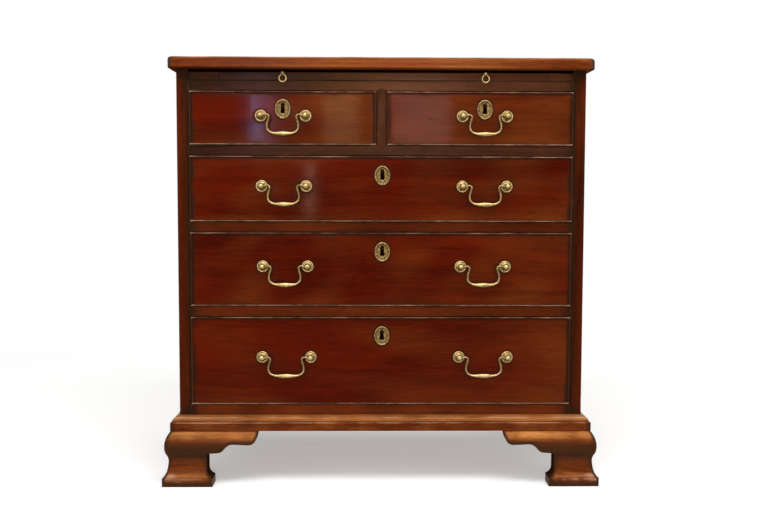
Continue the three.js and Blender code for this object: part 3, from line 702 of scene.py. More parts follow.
def wood_finish(kind):
    """A timber with its grain, wear, dirt and fading, and the highlights, sheen and shade painted in with
    them.
    """
    timber, figure, wear, shine, relief = WOODS[kind]
    colours = bpy.context.scene.chest_finishes
    light = getattr(colours, f"{timber}_light", getattr(colours, timber, None))
    dark = getattr(colours, f"{timber}_dark", [part * DARK_SHARE for part in light])
    # The faded colour also paints highlights and sheen, the worn colour highlights and the grime colour
    # painted shade
    faded = getattr(colours, f"{timber}_faded", light)
    worn = light if kind in ("oak", "pine") else colours.worn
    material, sums, shader = start_material(f"Wood, {kind}")
    vector, fade = sums.read("grain", "Vector"), sums.read("fade")
    figured = {"Vector": vector, **dict(zip(FIGURE, figure))}
    figured["Light"] = sums.mix(fade, opaque(light), opaque(faded))
    figured["Dark"] = sums.mix(fade, opaque(dark), sums.mix(0.5, opaque(dark), opaque(faded)))
    grain = sums.placed(grain_group(), figured)
    finish = {"Vector": vector, "Colour": grain["Colour"], **dict(zip(SURFACE, wear))}
    finish |= {"Worn": sums.read("worn"), "Dirt": sums.read("dirt")}
    finish |= {"Worn colour": opaque(worn), "Dirt colour": opaque(colours.grime_and_shade)}
    surface = sums.placed(wear_group(), finish)
    coat(sums, shader, surface, sums.plus(grain["Height"], surface["Height"]), relief, WOOD_RELIEF)
    shader["Specular IOR Level"].default_value = shine
    shader["Specular Tint"].default_value = opaque(POLISH_TINT.get(kind, (1.0, 1.0, 1.0)))
    return material


# Each kind of metal: its bright and its dark colour, its gloss and its relief
METALS = {
    "brass": ("brass", "tarnish", 0.24, 0.1),
    "plate": ("brass", "tarnish", 0.32, 0.25),
    "iron": ("iron", "grime_and_shade", 0.5, 0.12),
}


def metal_finish(kind):
    """A metal that is bright where it is worn and where a painted highlight falls, with tarnish and fine
    scratches.
    """
    bright, dark, gloss, relief = METALS[kind]
    colours = bpy.context.scene.chest_finishes
    material, sums, shader = start_material(f"Metal, {kind}")
    sockets = {"Vector": sums.add("ShaderNodeTexCoord").outputs["Object"]}
    sockets |= {"Worn": sums.read("worn"), "Gloss": gloss}
    sockets |= {"Bright": opaque(getattr(colours, bright)), "Dark": opaque(getattr(colours, dark))}
    surface = sums.placed(tarnish_group(), sockets)
    coat(sums, shader, surface, surface["Height"], relief, METAL_RELIEF)
    shader["Metallic"].default_value = 1.0
    return material


@cache
def finish_of(kind):
    """The material of one kind of piece."""
    return wood_finish(kind) if kind in WOODS else metal_finish(kind)


# How rubbed brass is, and how much painted highlight it gets where it faces up and painted shade where it
# faces down
PLAIN_WEAR = 0.58
UPPER_HIGHLIGHT = 0.3


def refinished(piece, which, *kinds):
    """Gives faces of a seated piece other finishes: the first of the kinds where which is 1, and so on."""
    for kind in kinds:
        piece.data.materials.append(finish_of(kind))
    piece.data.polygons.foreach_set("material_index", np.array(which, np.int32))


def rubbed_and_highlighted(piece, rubbed=PLAIN_WEAR):
    """How bright a metal piece is: rubbed, with a painted highlight on what faces up and painted shade below.
    """
    upwards = values_of(piece.data.vertex_normals, "vector", 3)[ALONG_Z::3]
    spread(rubbed + UPPER_HIGHLIGHT * upwards, "worn", piece)


def seat(piece, body, kind, *stands_for):
    """Finishes a piece, gives it to a body and says which nodes it stands for."""
    if kind in METALS and "worn" not in piece.data.attributes:
        rubbed_and_highlighted(piece)
    piece.data.materials.clear()
    piece.data.materials.append(finish_of(kind))
    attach(piece, body)
    if stands_for:
        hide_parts(*stands_for)
    return piece


# Fixings and wires, made by nodes


def real_pieces(sums, given, out, geometry):
    """Ends a tree: its copies become real and smooth and get their material."""
    real = sums.of("GeometryNodeRealizeInstances", {"Geometry": geometry})
    smooth = sums.of("GeometryNodeSetShadeSmooth", {"Geometry": real})
    made = sums.of("GeometryNodeSetMaterial", {"Geometry": smooth, "Material": given["Material"]})
    sums.put(out[0], made)
    return sums.tree


@cache
def fixing_tree(slotted):
    """Domed heads on the points of a mesh, facing its normals, with a slot where they are screws."""
    inputs = {"Points": "Geometry", "Radius": 1 * MM, "Rise": 0.5 * MM, "Slot": 0.6 * MM, "Shank": 6 * MM}
    inputs |= {"Sides": 16, "Material": "Material"}
    name = "Slotted heads" if slotted else "Domed heads"
    sums, given, out = group(name, "GeometryNodeTree", inputs, {"Fixings": "Geometry"})
    radius, rise, depth, sides = given["Radius"], given["Rise"], given["Shank"], given["Sides"]
    rings = sums.of("FunctionNodeIntegerMath", {0: sides, 1: 2}, operation="DIVIDE")
    dome = sums.of("GeometryNodeMeshUVSphere", {"Segments": sides, "Rings": rings, "Radius": 1.0})
    flat = sums.vector(X=radius, Y=radius, Z=rise)
    head = sums.of("GeometryNodeTransform", {"Geometry": dome, "Scale": flat})
    rod = {"Vertices": sides, "Radius": sums.times(radius, 0.5), "Depth": depth}
    sunk = sums.vector(Z=sums.times(depth, -0.5))
    shank = {"Geometry": sums.of("GeometryNodeMeshCylinder", rod), "Translation": sunk}
    shank = sums.of("GeometryNodeTransform", shank)
    if slotted:
        size = sums.vector(X=sums.times(radius, 2.4), Y=given["Slot"], Z=rise)
        blade = sums.of("GeometryNodeMeshCube", {"Size": size})
        saw = {"Geometry": blade, "Translation": sums.vector(Z=rise)}
        sawn = {"Mesh 1": head, "Mesh 2": sums.of("GeometryNodeTransform", saw)}
        head = sums.of("GeometryNodeMeshBoolean", sawn, operation="DIFFERENCE", solver="EXACT")
    both = sums.add("GeometryNodeJoinGeometry")
    for part in (head, shank):
        sums.put(both.inputs[0], part)
    facing = {"Vector": sums.named("facing", "FLOAT_VECTOR")}
    aimed = sums.of("FunctionNodeAlignRotationToVector", facing, axis="Z")
    twist = sums.of("FunctionNodeAxisAngleToRotation", {"Axis": (0, 0, 1), "Angle": sums.named("turn")})
    spun = sums.of("FunctionNodeRotateRotation", {0: aimed, 1: twist}, rotation_space="LOCAL")
    points = sums.of("GeometryNodeMeshToPoints", {"Mesh": given["Points"]})
    copies = {"Points": points, "Instance": both.outputs[0], "Rotation": spun}
    return real_pieces(sums, given, out, sums.of("GeometryNodeInstanceOnPoints", copies))


def with_tree(piece, tree, values, sharp=None):
    """The piece as the tree makes it, as a plain mesh."""
    modifier = piece.modifiers.new(tree.name, "NODES")
    modifier.node_group = tree
    for item in tree.interface.items_tree:
        if item.in_out == "INPUT" and item.name in values:
            modifier[item.identifier] = values[item.name]
    return settled(piece, sharp)


SHANK = 6 * MM


def fixings(name, places, facing, body, kind, radius, rise, slot=0.0, shank=SHANK, sides=16):
    """Pins, nails or screws at these places, made by nodes as one piece."""
    piece = new_object(name, new_mesh(name, places))
    spread(np.tile(facing, (len(places), 1)), "facing", piece, "FLOAT_VECTOR")
    turns = np.random.default_rng(seed_of(name)).uniform(0, math.pi, len(places))
    spread(turns, "turn", piece)
    values = {"Radius": radius, "Rise": rise, "Slot": slot, "Shank": shank, "Sides": sides}
    values["Material"] = finish_of(kind)
    with_tree(piece, fixing_tree(slot > 0), values)
    return seat(piece, body, kind)


@cache
def wire_tree():
    """A round wire along a chain of points, as thick at each as its attribute says."""
    inputs = {"Chain": "Geometry", "Sides": 16, "Material": "Material"}
    sums, given, out = group("Wire", "GeometryNodeTree", inputs, {"Wire": "Geometry"})
    curve = sums.of("GeometryNodeMeshToCurve", {"Mesh": given["Chain"]})
    section = sums.of("GeometryNodeCurvePrimitiveCircle", {"Resolution": given["Sides"], "Radius": 1.0})
    sockets = {"Curve": curve, "Profile Curve": section, "Scale": sums.named("thickness"), "Fill Caps": True}
    return real_pieces(sums, given, out, sums.of("GeometryNodeCurveToMesh", sockets))


def wire(name, chain, thickness, kind, sides=16, loops=False):
    """A wire piece along a chain of points."""
    count = len(chain)
    edges = [(i, (i + 1) % count) for i in range(count if loops else count - 1)]
    piece = new_object(name, new_mesh(name, chain, edges=edges))
    spread(np.broadcast_to(thickness, count), "thickness", piece)
    return with_tree(piece, wire_tree(), {"Sides": sides, "Material": finish_of(kind)}, 40)


# The case


class CHEST_OT_top(bpy.types.Operator):
    """Makes the top board, with round front corners and a worn upper edge"""

    bl_idname = "chest.top"
    bl_label = "Top board"

    # The lower arris and the back corners, beside the upper arris and the front corners
    LOWER_ARRIS_SHARE = 0.45
    BACK_CORNER_SHARE = 0.2
    LAYER = 2.5 * MM
    DISH = 0.25 * MM
    FLAT = 0.02 * MM

    def execute(self, context):
        wood = context.scene.chest_wood
        low, high = (np.array(corner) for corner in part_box("top_board"))
        lower = wood.top_arris * self.LOWER_ARRIS_SHARE
        spans = list(zip(low, high))
        lines = [side_lines(span, wood.top_arris, wood.cell) for span in spans[:2]]
        lines.append(side_lines(spans[2], lower, self.LAYER))
        points, faces = shell(lines)
        points = self.shaped(points, low, high, wood, lower)
        piece = mesh_piece("top_board_mahogany", points, faces)
        self.aged(piece, low, high, wood.top_corner)
        seat(piece, "case", "edge", "top_board")
        upwards = np.array([face.normal.z for face in piece.data.polygons])
        refinished(piece, (upwards < -0.7) + 2 * (upwards > 0.97), "raw", "top")
        return {"FINISHED"}

    def shaped(self, points, low, high, wood, lower):
        """The block's points with round corners in plan, rounded arrises and a hollow upper face."""
        seed = seed_of("top_board")
        worn = patches(points, 90 * MM, seed)
        flat, height = points[:, :2], points[:, 2]
        middle = (low + high) / 2
        above = height > middle[2]
        corner = wood.top_corner
        reach = np.where(points[:, 1] < middle[1], corner, corner * self.BACK_CORNER_SHARE)[:, None]
        core = np.clip(flat, low[:2] + reach, high[:2] - reach)
        away = flat - core
        square = np.abs(away).max(axis=1)
        way = away / np.maximum(np.linalg.norm(away, axis=1), 1e-9)[:, None]
        from_edge = reach[:, 0] - square
        radius = np.where(above, wood.top_arris * (1 - 0.25 * worn), lower * (1 - 0.3 * worn))
        rise = np.where(above, high[2] - height, height - low[2])
        past_edge, past_rise = np.maximum(radius - from_edge, 0), np.maximum(radius - rise, 0)
        round_here = (past_edge > 0) & (past_rise > 0)
        scale = np.where(round_here, radius / np.maximum(np.hypot(past_edge, past_rise), 1e-9), 1.0)
        from_edge = np.where(round_here, radius - past_edge * scale, from_edge)
        rise = np.where(round_here, radius - past_rise * scale, rise)
        outwards = (reach[:, 0] - from_edge)[:, None]
        flat = np.where((square > 0)[:, None], core + way * outwards, flat)
        points = np.column_stack([flat, np.where(above, high[2] - rise, low[2] + rise)])
        on_top = points[:, 2] > high[2] - self.FLAT
        points[on_top, 2] -= self.DISH * patches(points[on_top], 220 * MM, seed + 1)
        return points

    def aged(self, piece, low, high, corner):
        """Wear and a painted highlight on the upper edge, painted shade under the edge and at the round
        corners where they turn away, fading to the right, and a darker band along the middle of the edge.
        """
        points = points_of(piece)
        seed = seed_of("top_board")
        from_end, from_front = high[0] - np.abs(points[:, 0]), points[:, 1] - low[1]
        rise = points[:, 2] - low[2]
        outer = np.minimum(from_end, from_front)
        # Wear on the upper arris, with a painted highlight there where light falls on it from above
        at_top = bell(high[2] - points[:, 2], 2.6 * MM)
        worn = (0.75 + 0.25 * ripple(points, 40 * MM, seed + 3)) * at_top * near(outer - 4 * MM, 2 * MM)
        # Painted shade where the round front corners turn away from the light
        corners = near(from_end - 6 * MM, 3 * MM)
        corners *= near(from_front - corner, 8 * MM)
        edge = near(outer, 6 * MM)
        # Painted shade along the bottom of the edge and at the corners
        dirt = np.maximum(0.55 * edge * near(rise, 1.6 * MM), corners)
        wander = ripple(points * (0.3, 1, 1), 70 * MM, seed + 2)
        # Fading grows to the right, and the edge gets a darker band along its middle
        fade = 0.15 + 0.09 * np.clip(points[:, 0] / high[0], -1, 1)
        fade += (0.04 + 0.12 * edge) * wander - 0.2 * bell(rise - 8 * MM, 4 * MM) * edge
        paint(piece, ALONG_X, held(worn) * (1 - corners), dirt, fade, points)


# Each board between drawers, with the drawers below it and what lies on it
DIVIDERS = {
    "lower_divider": (("long_lower",), "long_middle_box"),
    "middle_divider": (("long_middle",), "long_upper_box"),
    "upper_divider": (("long_upper",), "short_left_box"),
    "slide_divider": (SHORT_DRAWERS, "slide_panel"),
}


def rail_heights(node):
    """The lower and upper face of a divider's board, without the stops on it."""
    above = DIVIDERS[node][1]
    gap = SLIDE_GAP if above == "slide_panel" else SEAT_GAP
    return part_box(node)[0].z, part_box(above)[0].z - gap


class CHEST_OT_sides(bpy.types.Operator):
    """Makes the two sides of the case, with their grain upright"""

    bl_idname = "chest.sides"
    bl_label = "Sides"

    ARRIS = 1.3 * MM
    # How far behind the front the grooves for the dust boards start
    GROOVE_START = 12 * MM

    def execute(self, context):
        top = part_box("top_board")[0].z
        for side, sign in SIDES.items():
            node = f"side_{side}"
            low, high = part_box(node)
            rebate = self.across(sign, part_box("back_board_lower")[1].x)
            cutters = [box_cutter(rebate, (BACK_FACE, BACK + PAST), (low.z - PAST, high.z + PAST))]
            for rail in DIVIDERS:
                groove = self.across(sign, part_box(rail)[1].x)
                cutters.append(box_cutter(groove, (FRONT + self.GROOVE_START, BACK_FACE), rail_heights(rail)))
            x = sorted((sign * INNER_HALF, sign * HALF_CARCASS))
            corners = (x[0], FRONT, low.z), (x[1], BACK, top)
            looks = {"arris": self.ARRIS, "dirt": self.dirt, "fade": self.fade, "cutters": cutters}
            fitted(f"{node}_mahogany", *corners, ALONG_Z, "case", "case", node, **looks)
        return {"FINISHED"}

    @staticmethod
    def across(sign, depth):
        """What a cutter takes from a side's inner face, to this distance from the middle."""
        return sorted((sign * (INNER_HALF - PAST), sign * depth))

    @staticmethod
    def dirt(points):
        """Painted shade along the inner strip of the stile's front and under the top's overhang, and darker
        just over the moulding.
        """
        at_front = near(points[:, 1] - FRONT, 3 * MM)
        inner = near(np.abs(points[:, 0]) - INNER_HALF - 2 * MM, 3.5 * MM)
        ends = np.maximum(near(TOP_LOW - points[:, 2], 18 * MM), near(points[:, 2] - MOULDING_TOP, 7 * MM))
        return held(at_front * inner * 0.9 + ends * 0.75)

    @staticmethod
    def fade(points):
        """The outer strip of the stile is painted lighter and redder, as lit beside its painted shaded inner
        strip; the side has a few long clouds of fading too.
        """
        outer = near(HALF_CARCASS - np.abs(points[:, 0]), 6 * MM) * near(points[:, 1] - FRONT, 3 * MM)
        return 0.3 * outer + 0.35 * held(ripple(points * (1, 1, 0.4), 120 * MM, 5))


def sheen(points):
    """A painted sheen, as of a reflection, on the top rails and the slide: none at the left, most in the
    middle.
    """
    places, fades = (-0.9, -0.3, 0.0, 0.5, 1.0), (0.0, 0.12, 0.5, 0.42, 0.4)
    return np.interp(points[:, 0] / INNER_HALF, places, fades) + 0.06 * ripple(points, 90 * MM, 6)


def rail_dirt_and_shade(points):
    """On a rail: painted shade at its ends beside the stiles and along the joint under the slide, and a
    little dirt over its front.
    """
    ends = near(INNER_HALF - np.abs(points[:, 0]), 9 * MM)
    at_front = near(points[:, 1] - FRONT, 2 * MM)
    joint = near(np.abs(points[:, 2] - SLIDE_LOW), 1 * MM)
    return held(ends * 0.9 + at_front * (0.2 + 0.8 * joint))


def bolt_cutter(name, spare, low, high):
    """Cuts the way of a drawer's lock bolt, between two heights."""
    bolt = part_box(f"{name}_lock_bolt")
    x, y = ((bolt[0][axis] - spare, bolt[1][axis] + spare) for axis in (ALONG_X, ALONG_Y))
    return box_cutter(x, y, (low, high))


class CHEST_OT_rails(bpy.types.Operator):
    """Makes the rails between the drawers and the dust boards behind them"""

    bl_idname = "chest.rails"
    bl_label = "Rails and dust boards"

    # How far each rail has faded, from the bottom one up, and how much painted sheen the top rails have
    FADES = (0.8, 0.55, 0.42, 0.1, 0.1)
    SHEENS = {"upper_divider": 0.5, "slide_divider": 0.85}
    FADE_WAVE = 110 * MM
    CELL = 60 * MM
    BOLT_SPARE = 0.4 * MM
    MORTISE_TOP = 8 * MM
    NOTCH_MOUTH = 2 * MM
    NOTCH_REACH = 200 * MM
    BOTTOM_RAIL = 24 * MM
    BOTTOM_THICKNESS = 16 * MM
    UPRIGHT_ARRIS = 0.7 * MM
    STOP_SIZE = (40 * MM, 30 * MM, 4 * MM)
    STOP_INSET = 66 * MM

    def execute(self, context):
        depth = context.scene.chest_wood.rail_depth
        for node, faded in zip(DIVIDERS, self.FADES[1:]):
            self.divider(node, faded, depth)
        self.bottom()
        self.upright(depth)
        self.stops()
        return {"FINISHED"}

    def divider(self, node, faded, depth):
        low, high = rail_heights(node)
        notches = {"upper_divider": (high, -1), "slide_divider": (low, 1)}
        cutters = [self.notch(*notches[node])] if node in notches else []
        for name in DIVIDERS[node][0]:
            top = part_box(f"{name}_lock_bolt")[1].z + self.MORTISE_TOP
            cutters.append(bolt_cutter(name, self.BOLT_SPARE, low - PAST, top))
        bright = self.SHEENS.get(node)

        def fade(points):
            return sheen(points) * bright if bright else faded + 0.2 * ripple(points, self.FADE_WAVE, 3)

        corners = (-INNER_HALF, FRONT, low), (INNER_HALF, FRONT + depth, high)
        looks = {"dirt": rail_dirt_and_shade, "fade": fade, "cutters": cutters}
        fitted(f"{node}_rail", *corners, ALONG_X, "case", "bloom" if bright else "case", node, **looks)
        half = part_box(node)[1].x
        corners = (-half, FRONT + depth, low), (half, BACK_FACE, high)
        fitted(f"{node}_dust_board", *corners, ALONG_X, "case", "pine", cell=self.CELL)

    def notch(self, height, way):
        """What is cut from a rail for the pointed end of the upright between the short drawers."""
        low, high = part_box("drawer_divider")
        half, mouth = high.x, height - way * self.NOTCH_MOUTH
        tip = low.z if way < 0 else high.z
        outline = [(-half, mouth), (half, mouth), (half, height), (0, tip), (-half, height)]
        return extruded("cutter", outline, (FRONT - FAR_PAST, FRONT + self.NOTCH_REACH))

    def bottom(self):
        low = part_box("bottom_board")[0]
        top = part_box("long_lower_box")[0].z - SEAT_GAP
        behind = FRONT + self.BOTTOM_RAIL
        looks = {
            "dirt": lambda points: held(rail_dirt_and_shade(points) + 0.3 * near(points[:, 2] - MOULDING_TOP, 2 * MM)),
            "fade": lambda points: self.FADES[0] + 0.2 * ripple(points, self.FADE_WAVE, 4),
        }
        corners = (-INNER_HALF, FRONT, FOOT_TOP), (INNER_HALF, behind, top)
        fitted("bottom_rail", *corners, ALONG_X, "case", "case", "bottom_board", **looks)
        corners = (low.x, behind, top - self.BOTTOM_THICKNESS), (-low.x, BACK_FACE, top)
        fitted("bottom_boards", *corners, ALONG_X, "case", "pine", cell=self.CELL)

    def upright(self, depth):
        low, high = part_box("drawer_divider")
        below, above = rail_heights("upper_divider")[1], rail_heights("slide_divider")[0]
        half = high.x
        outline = [(-half, below), (0, low.z), (half, below), (half, above), (0, high.z), (-half, above)]
        piece = extruded("drawer_divider_upright", outline, (FRONT, FRONT + depth))
        bevelled(piece, self.UPRIGHT_ARRIS, 3)
        points = points_of(piece)
        at_front = near(points[:, 1] - FRONT, 2 * MM)
        paint(piece, ALONG_Z, 0.3 * at_front, 0.24 * at_front, 0.26 * at_front, points)
        seat(piece, "case", "bloom", "drawer_divider")
        corners = (-half, FRONT + depth, below), (half, BACK_FACE, above)
        fitted("drawer_divider_board", *corners, ALONG_Y, "case", "pine", cell=self.CELL)

    def stops(self):
        width, length_back, thickness = self.STOP_SIZE
        for name in DRAWERS:
            low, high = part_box(f"{name}_box")
            start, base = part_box(f"{name}_front")[1].y + SEAT_GAP, low.z - SEAT_GAP
            for side, sign in SIDES.items():
                middle = (low.x + high.x) / 2 + sign * ((high.x - low.x) / 2 - self.STOP_INSET)
                first = (middle - width / 2, start, base)
                last = (middle + width / 2, start + length_back, base + thickness)
                fitted(f"{name}_stop_{side}", first, last, ALONG_X, "case", "oak", cell=width / 2)


class CHEST_OT_back(bpy.types.Operator):
    """Makes the back boards, lapped across the case and nailed at their ends"""

    bl_idname = "chest.back"
    bl_label = "Back boards"

    BOARDS = 3
    LAP = 10 * MM
    HALF_GAP = 0.4 * MM
    ARRIS = 1.2 * MM
    CELL = 30 * MM
    NAIL_SHARES = (0.2, 0.5, 0.8)
    NAIL_INSET = 6 * MM
    NAIL = (2.6 * MM, 0.5 * MM)

    def execute(self, context):
        upper_low, upper_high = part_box("back_board_upper")
        low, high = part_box("back_board_lower")
        joint = upper_low.z + self.LAP
        heights = [low.z + (joint - low.z) * i / self.BOARDS for i in range(self.BOARDS + 1)]
        heights.append(upper_high.z)

        def dirt(points):
            return 0.25 + 0.3 * near(np.abs(points[:, 0] - high.x), 30 * MM)

        looks = {"arris": self.ARRIS, "cell": self.CELL, "dirt": dirt}
        nails = []
        for index, (bottom, top) in enumerate(zip(heights, heights[1:])):
            node = "back_board_upper" if index == self.BOARDS else "back_board_lower"
            first, last = (low.x, BACK_FACE, bottom + self.HALF_GAP), (high.x, BACK, top - self.HALF_GAP)
            fitted(f"back_board_{index + 1}", first, last, ALONG_X, "case", "pine", node, **looks)
            for sign in SIDES.values():
                for share in self.NAIL_SHARES:
                    nails.append((sign * (high.x - self.NAIL_INSET), BACK, bottom + (top - bottom) * share))
        fixings("back_nails", nails, (0, 1, 0), "case", "iron", *self.NAIL)
        return {"FINISHED"}


# Base moulding and feet


class CHEST_OT_moulding(bpy.types.Operator):
    """Makes the three mitred lengths of the base moulding"""

    bl_idname = "chest.moulding"
    bl_label = "Base moulding"

    # The heights of the flat band and of the hollow over it, from the moulding's foot
    BAND = 16.6 * MM
    QUIRK = 17.8 * MM
    NOSE = 1.2 * MM
    FOOT = 0.8 * MM
    # Where points lie on the band, from its foot and from its nose, and the lip's, out and down from the top
    BAND_STEPS = (2.2 * MM, 2.6 * MM)
    LIP = ((1.9 * MM, 0.6 * MM), (1.6 * MM, 0.0))
    CELL = 12 * MM

    def outline(self):
        low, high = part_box("base_moulding")
        out, top = high.x - HALF_CARCASS, high.z
        band = low.z + self.BAND

        def at(inwards, up):
            return (out - inwards * MM, band + up * MM)

        foot = arc((out - self.FOOT, low.z + self.FOOT), self.FOOT, -90, 0, 3)
        nose = arc((out - self.NOSE, band - self.NOSE), self.NOSE, 0, 90, 4)
        hollow = bezier([at(3.2, 0), at(3.6, 1.2), at(3.3, 2.4)], 3)
        swell = bezier([hollow[-1], at(4.0, 6.6), at(8.6, 9.6), at(12.2, 11.6)], 10)
        lip = bezier([swell[-1], *((away, top - down) for away, down in self.LIP)], 3)
        points = [(0, low.z, 0)]
        points += [(a, b, 0.25) for a, b in foot]
        heights = low.z + self.BAND_STEPS[0], band / 2 + low.z / 2, band - self.BAND_STEPS[1]
        points += [(out, height, 0.0) for height in heights]
        points += [(a, b, 0.75) for a, b in nose]
        points += [(a, b, 0.1) for a, b in [at(3.2, 0)] + hollow]
        # The swell's value peaks in its middle as a painted highlight, where it faces up into the light; the
        # other values are wear on the arrises
        points += [(a, b, 0.75 * math.sin(math.pi * i / 9) ** 5) for i, (a, b) in enumerate(swell)]
        points += [(a, b, 0.2) for a, b in lip]
        points.append((0, top, 0))
        return points

    def execute(self, context):
        outline = self.outline()

        def corner(sign):
            return lambda out, up: (sign * (HALF_CARCASS + out), FRONT - out, up)

        def end(sign):
            return lambda out, up: (sign * (HALF_CARCASS + out), BACK, up)

        lengths = {"front": (corner(-1), corner(1), ALONG_X)}
        for side, sign in SIDES.items():
            lengths[side] = (corner(sign), end(sign), ALONG_Y)
        for name, (first, last, grain) in lengths.items():
            piece = strip(f"base_moulding_{name}", outline, first, last, self.CELL)
            self.aged(piece, grain, seed_of(name))
            seat(piece, "case", "edge", "base_moulding")
        return {"FINISHED"}

    def aged(self, piece, grain, seed):
        """Wear on its arrises; a painted highlight on its swell, brighter towards its ends; painted shade in
        its quirk and where it turns at the corners; dust on its lip; darker at its foot; and its slope
        painted lighter where it faces up.
        """
        points = points_of(piece)
        wander = ripple(points, 60 * MM, seed)
        # The painted highlight on the swell grows towards the ends
        worn = worn_and_highlight_of(piece) * (0.7 + 0.3 * wander + 0.35 * (points[:, 0] / HALF_CARCASS) ** 4)
        rise = points[:, 2] - FOOT_TOP
        slope = near(self.QUIRK - rise, 1 * MM)
        away = np.maximum(HALF_CARCASS + 14 * MM - np.abs(points[:, 0]), points[:, 1] - FRONT + 14 * MM)
        # Painted shade where the band turns at the corners
        corners = near(away - 6 * MM, 4 * MM) * (1 - slope)
        dirt = 0.5 * near(rise, 1.5 * MM) + 0.8 * near(MOULDING_TOP - points[:, 2], 1.2 * MM) + 0.85 * corners
        # Painted shade in the quirk
        dirt += 0.9 * near(np.abs(rise - self.QUIRK), 0.9 * MM) * (1 - worn)
        # The slope is painted lighter, a painted highlight where it faces up
        paint(piece, grain, worn * (1 - corners), dirt, 0.05 + 0.42 * slope + 0.12 * wander, points)


# The ogee of a foot's face, as its pad, flare, neck and bulge: out as a share of the pad's reach, up as a
# share of the foot's height
OGEE_SHARES = (
    ((1, 0), (1, 0.15)),
    ((1, 0.15), (0.7, 0.19), (0.63, 0.44)),
    ((0.63, 0.44), (0.64, 0.535), (0.775, 0.587)),
    ((0.775, 0.587), (0.92, 0.69), (0.935, 0.86), (0.51, 1)),
)
# The sawn edge of a bracket: along as a share of the foot's length, up as a share of its height
SAWN_SHARES = (
    ((0.53, 0), (0.53, 0.16)),
    ((0.53, 0.16), (0.475, 0.19), (0.47, 0.29)),
    ((0.47, 0.29), (0.47, 0.56)),
    ((0.47, 0.56), (0.485, 0.6), (0.5, 0.6)),
    ((0.5, 0.6), (0.55, 0.6), (0.6, 0.615)),
    ((0.6, 0.615), (0.65, 0.63), (0.66, 0.775), (0.745, 0.77)),
    ((0.745, 0.77), (0.9, 0.757)),
    ((0.9, 0.757), (0.985, 0.765), (0.99, 0.87), (1, 1)),
)


def offset_outline(outline, distances):
    """The outline with each edge moved inwards by its own distance. The outline runs anticlockwise."""
    count = len(outline)
    points = [Vector(p) for p in outline]
    lines = []
    for i in range(count):
        a, b = points[i], points[(i + 1) % count]
        way = (b - a).normalized()
        inwards = Vector((-way.y, way.x))
        lines.append((a + inwards * distances[i], way, inwards))
    made = []
    for i in range(count):
        (a, way_a, in_a), (b, way_b, in_b) = lines[i - 1], lines[i]
        cross = way_a.x * way_b.y - way_a.y * way_b.x
        if abs(cross) < 0.02:
            blend = (in_a * distances[i - 1] + in_b * distances[i]) / 2
            made.append(points[i] + blend)
            continue
        gap = b - a
        along = (gap.x * way_b.y - gap.y * way_b.x) / cross
        made.append(a + way_a * along)
    return made


def run_curve(runs, start, steps, scales=(1, 1), offset=0.0):
    """A line through runs of two, three or four points, each straight or a curve."""
    made = [start]
    for run in runs:
        points = [(a * scales[0] - offset, b * scales[1]) for a, b in run]
        made += bezier(points, 1 if len(points) == 2 else steps)
    return made


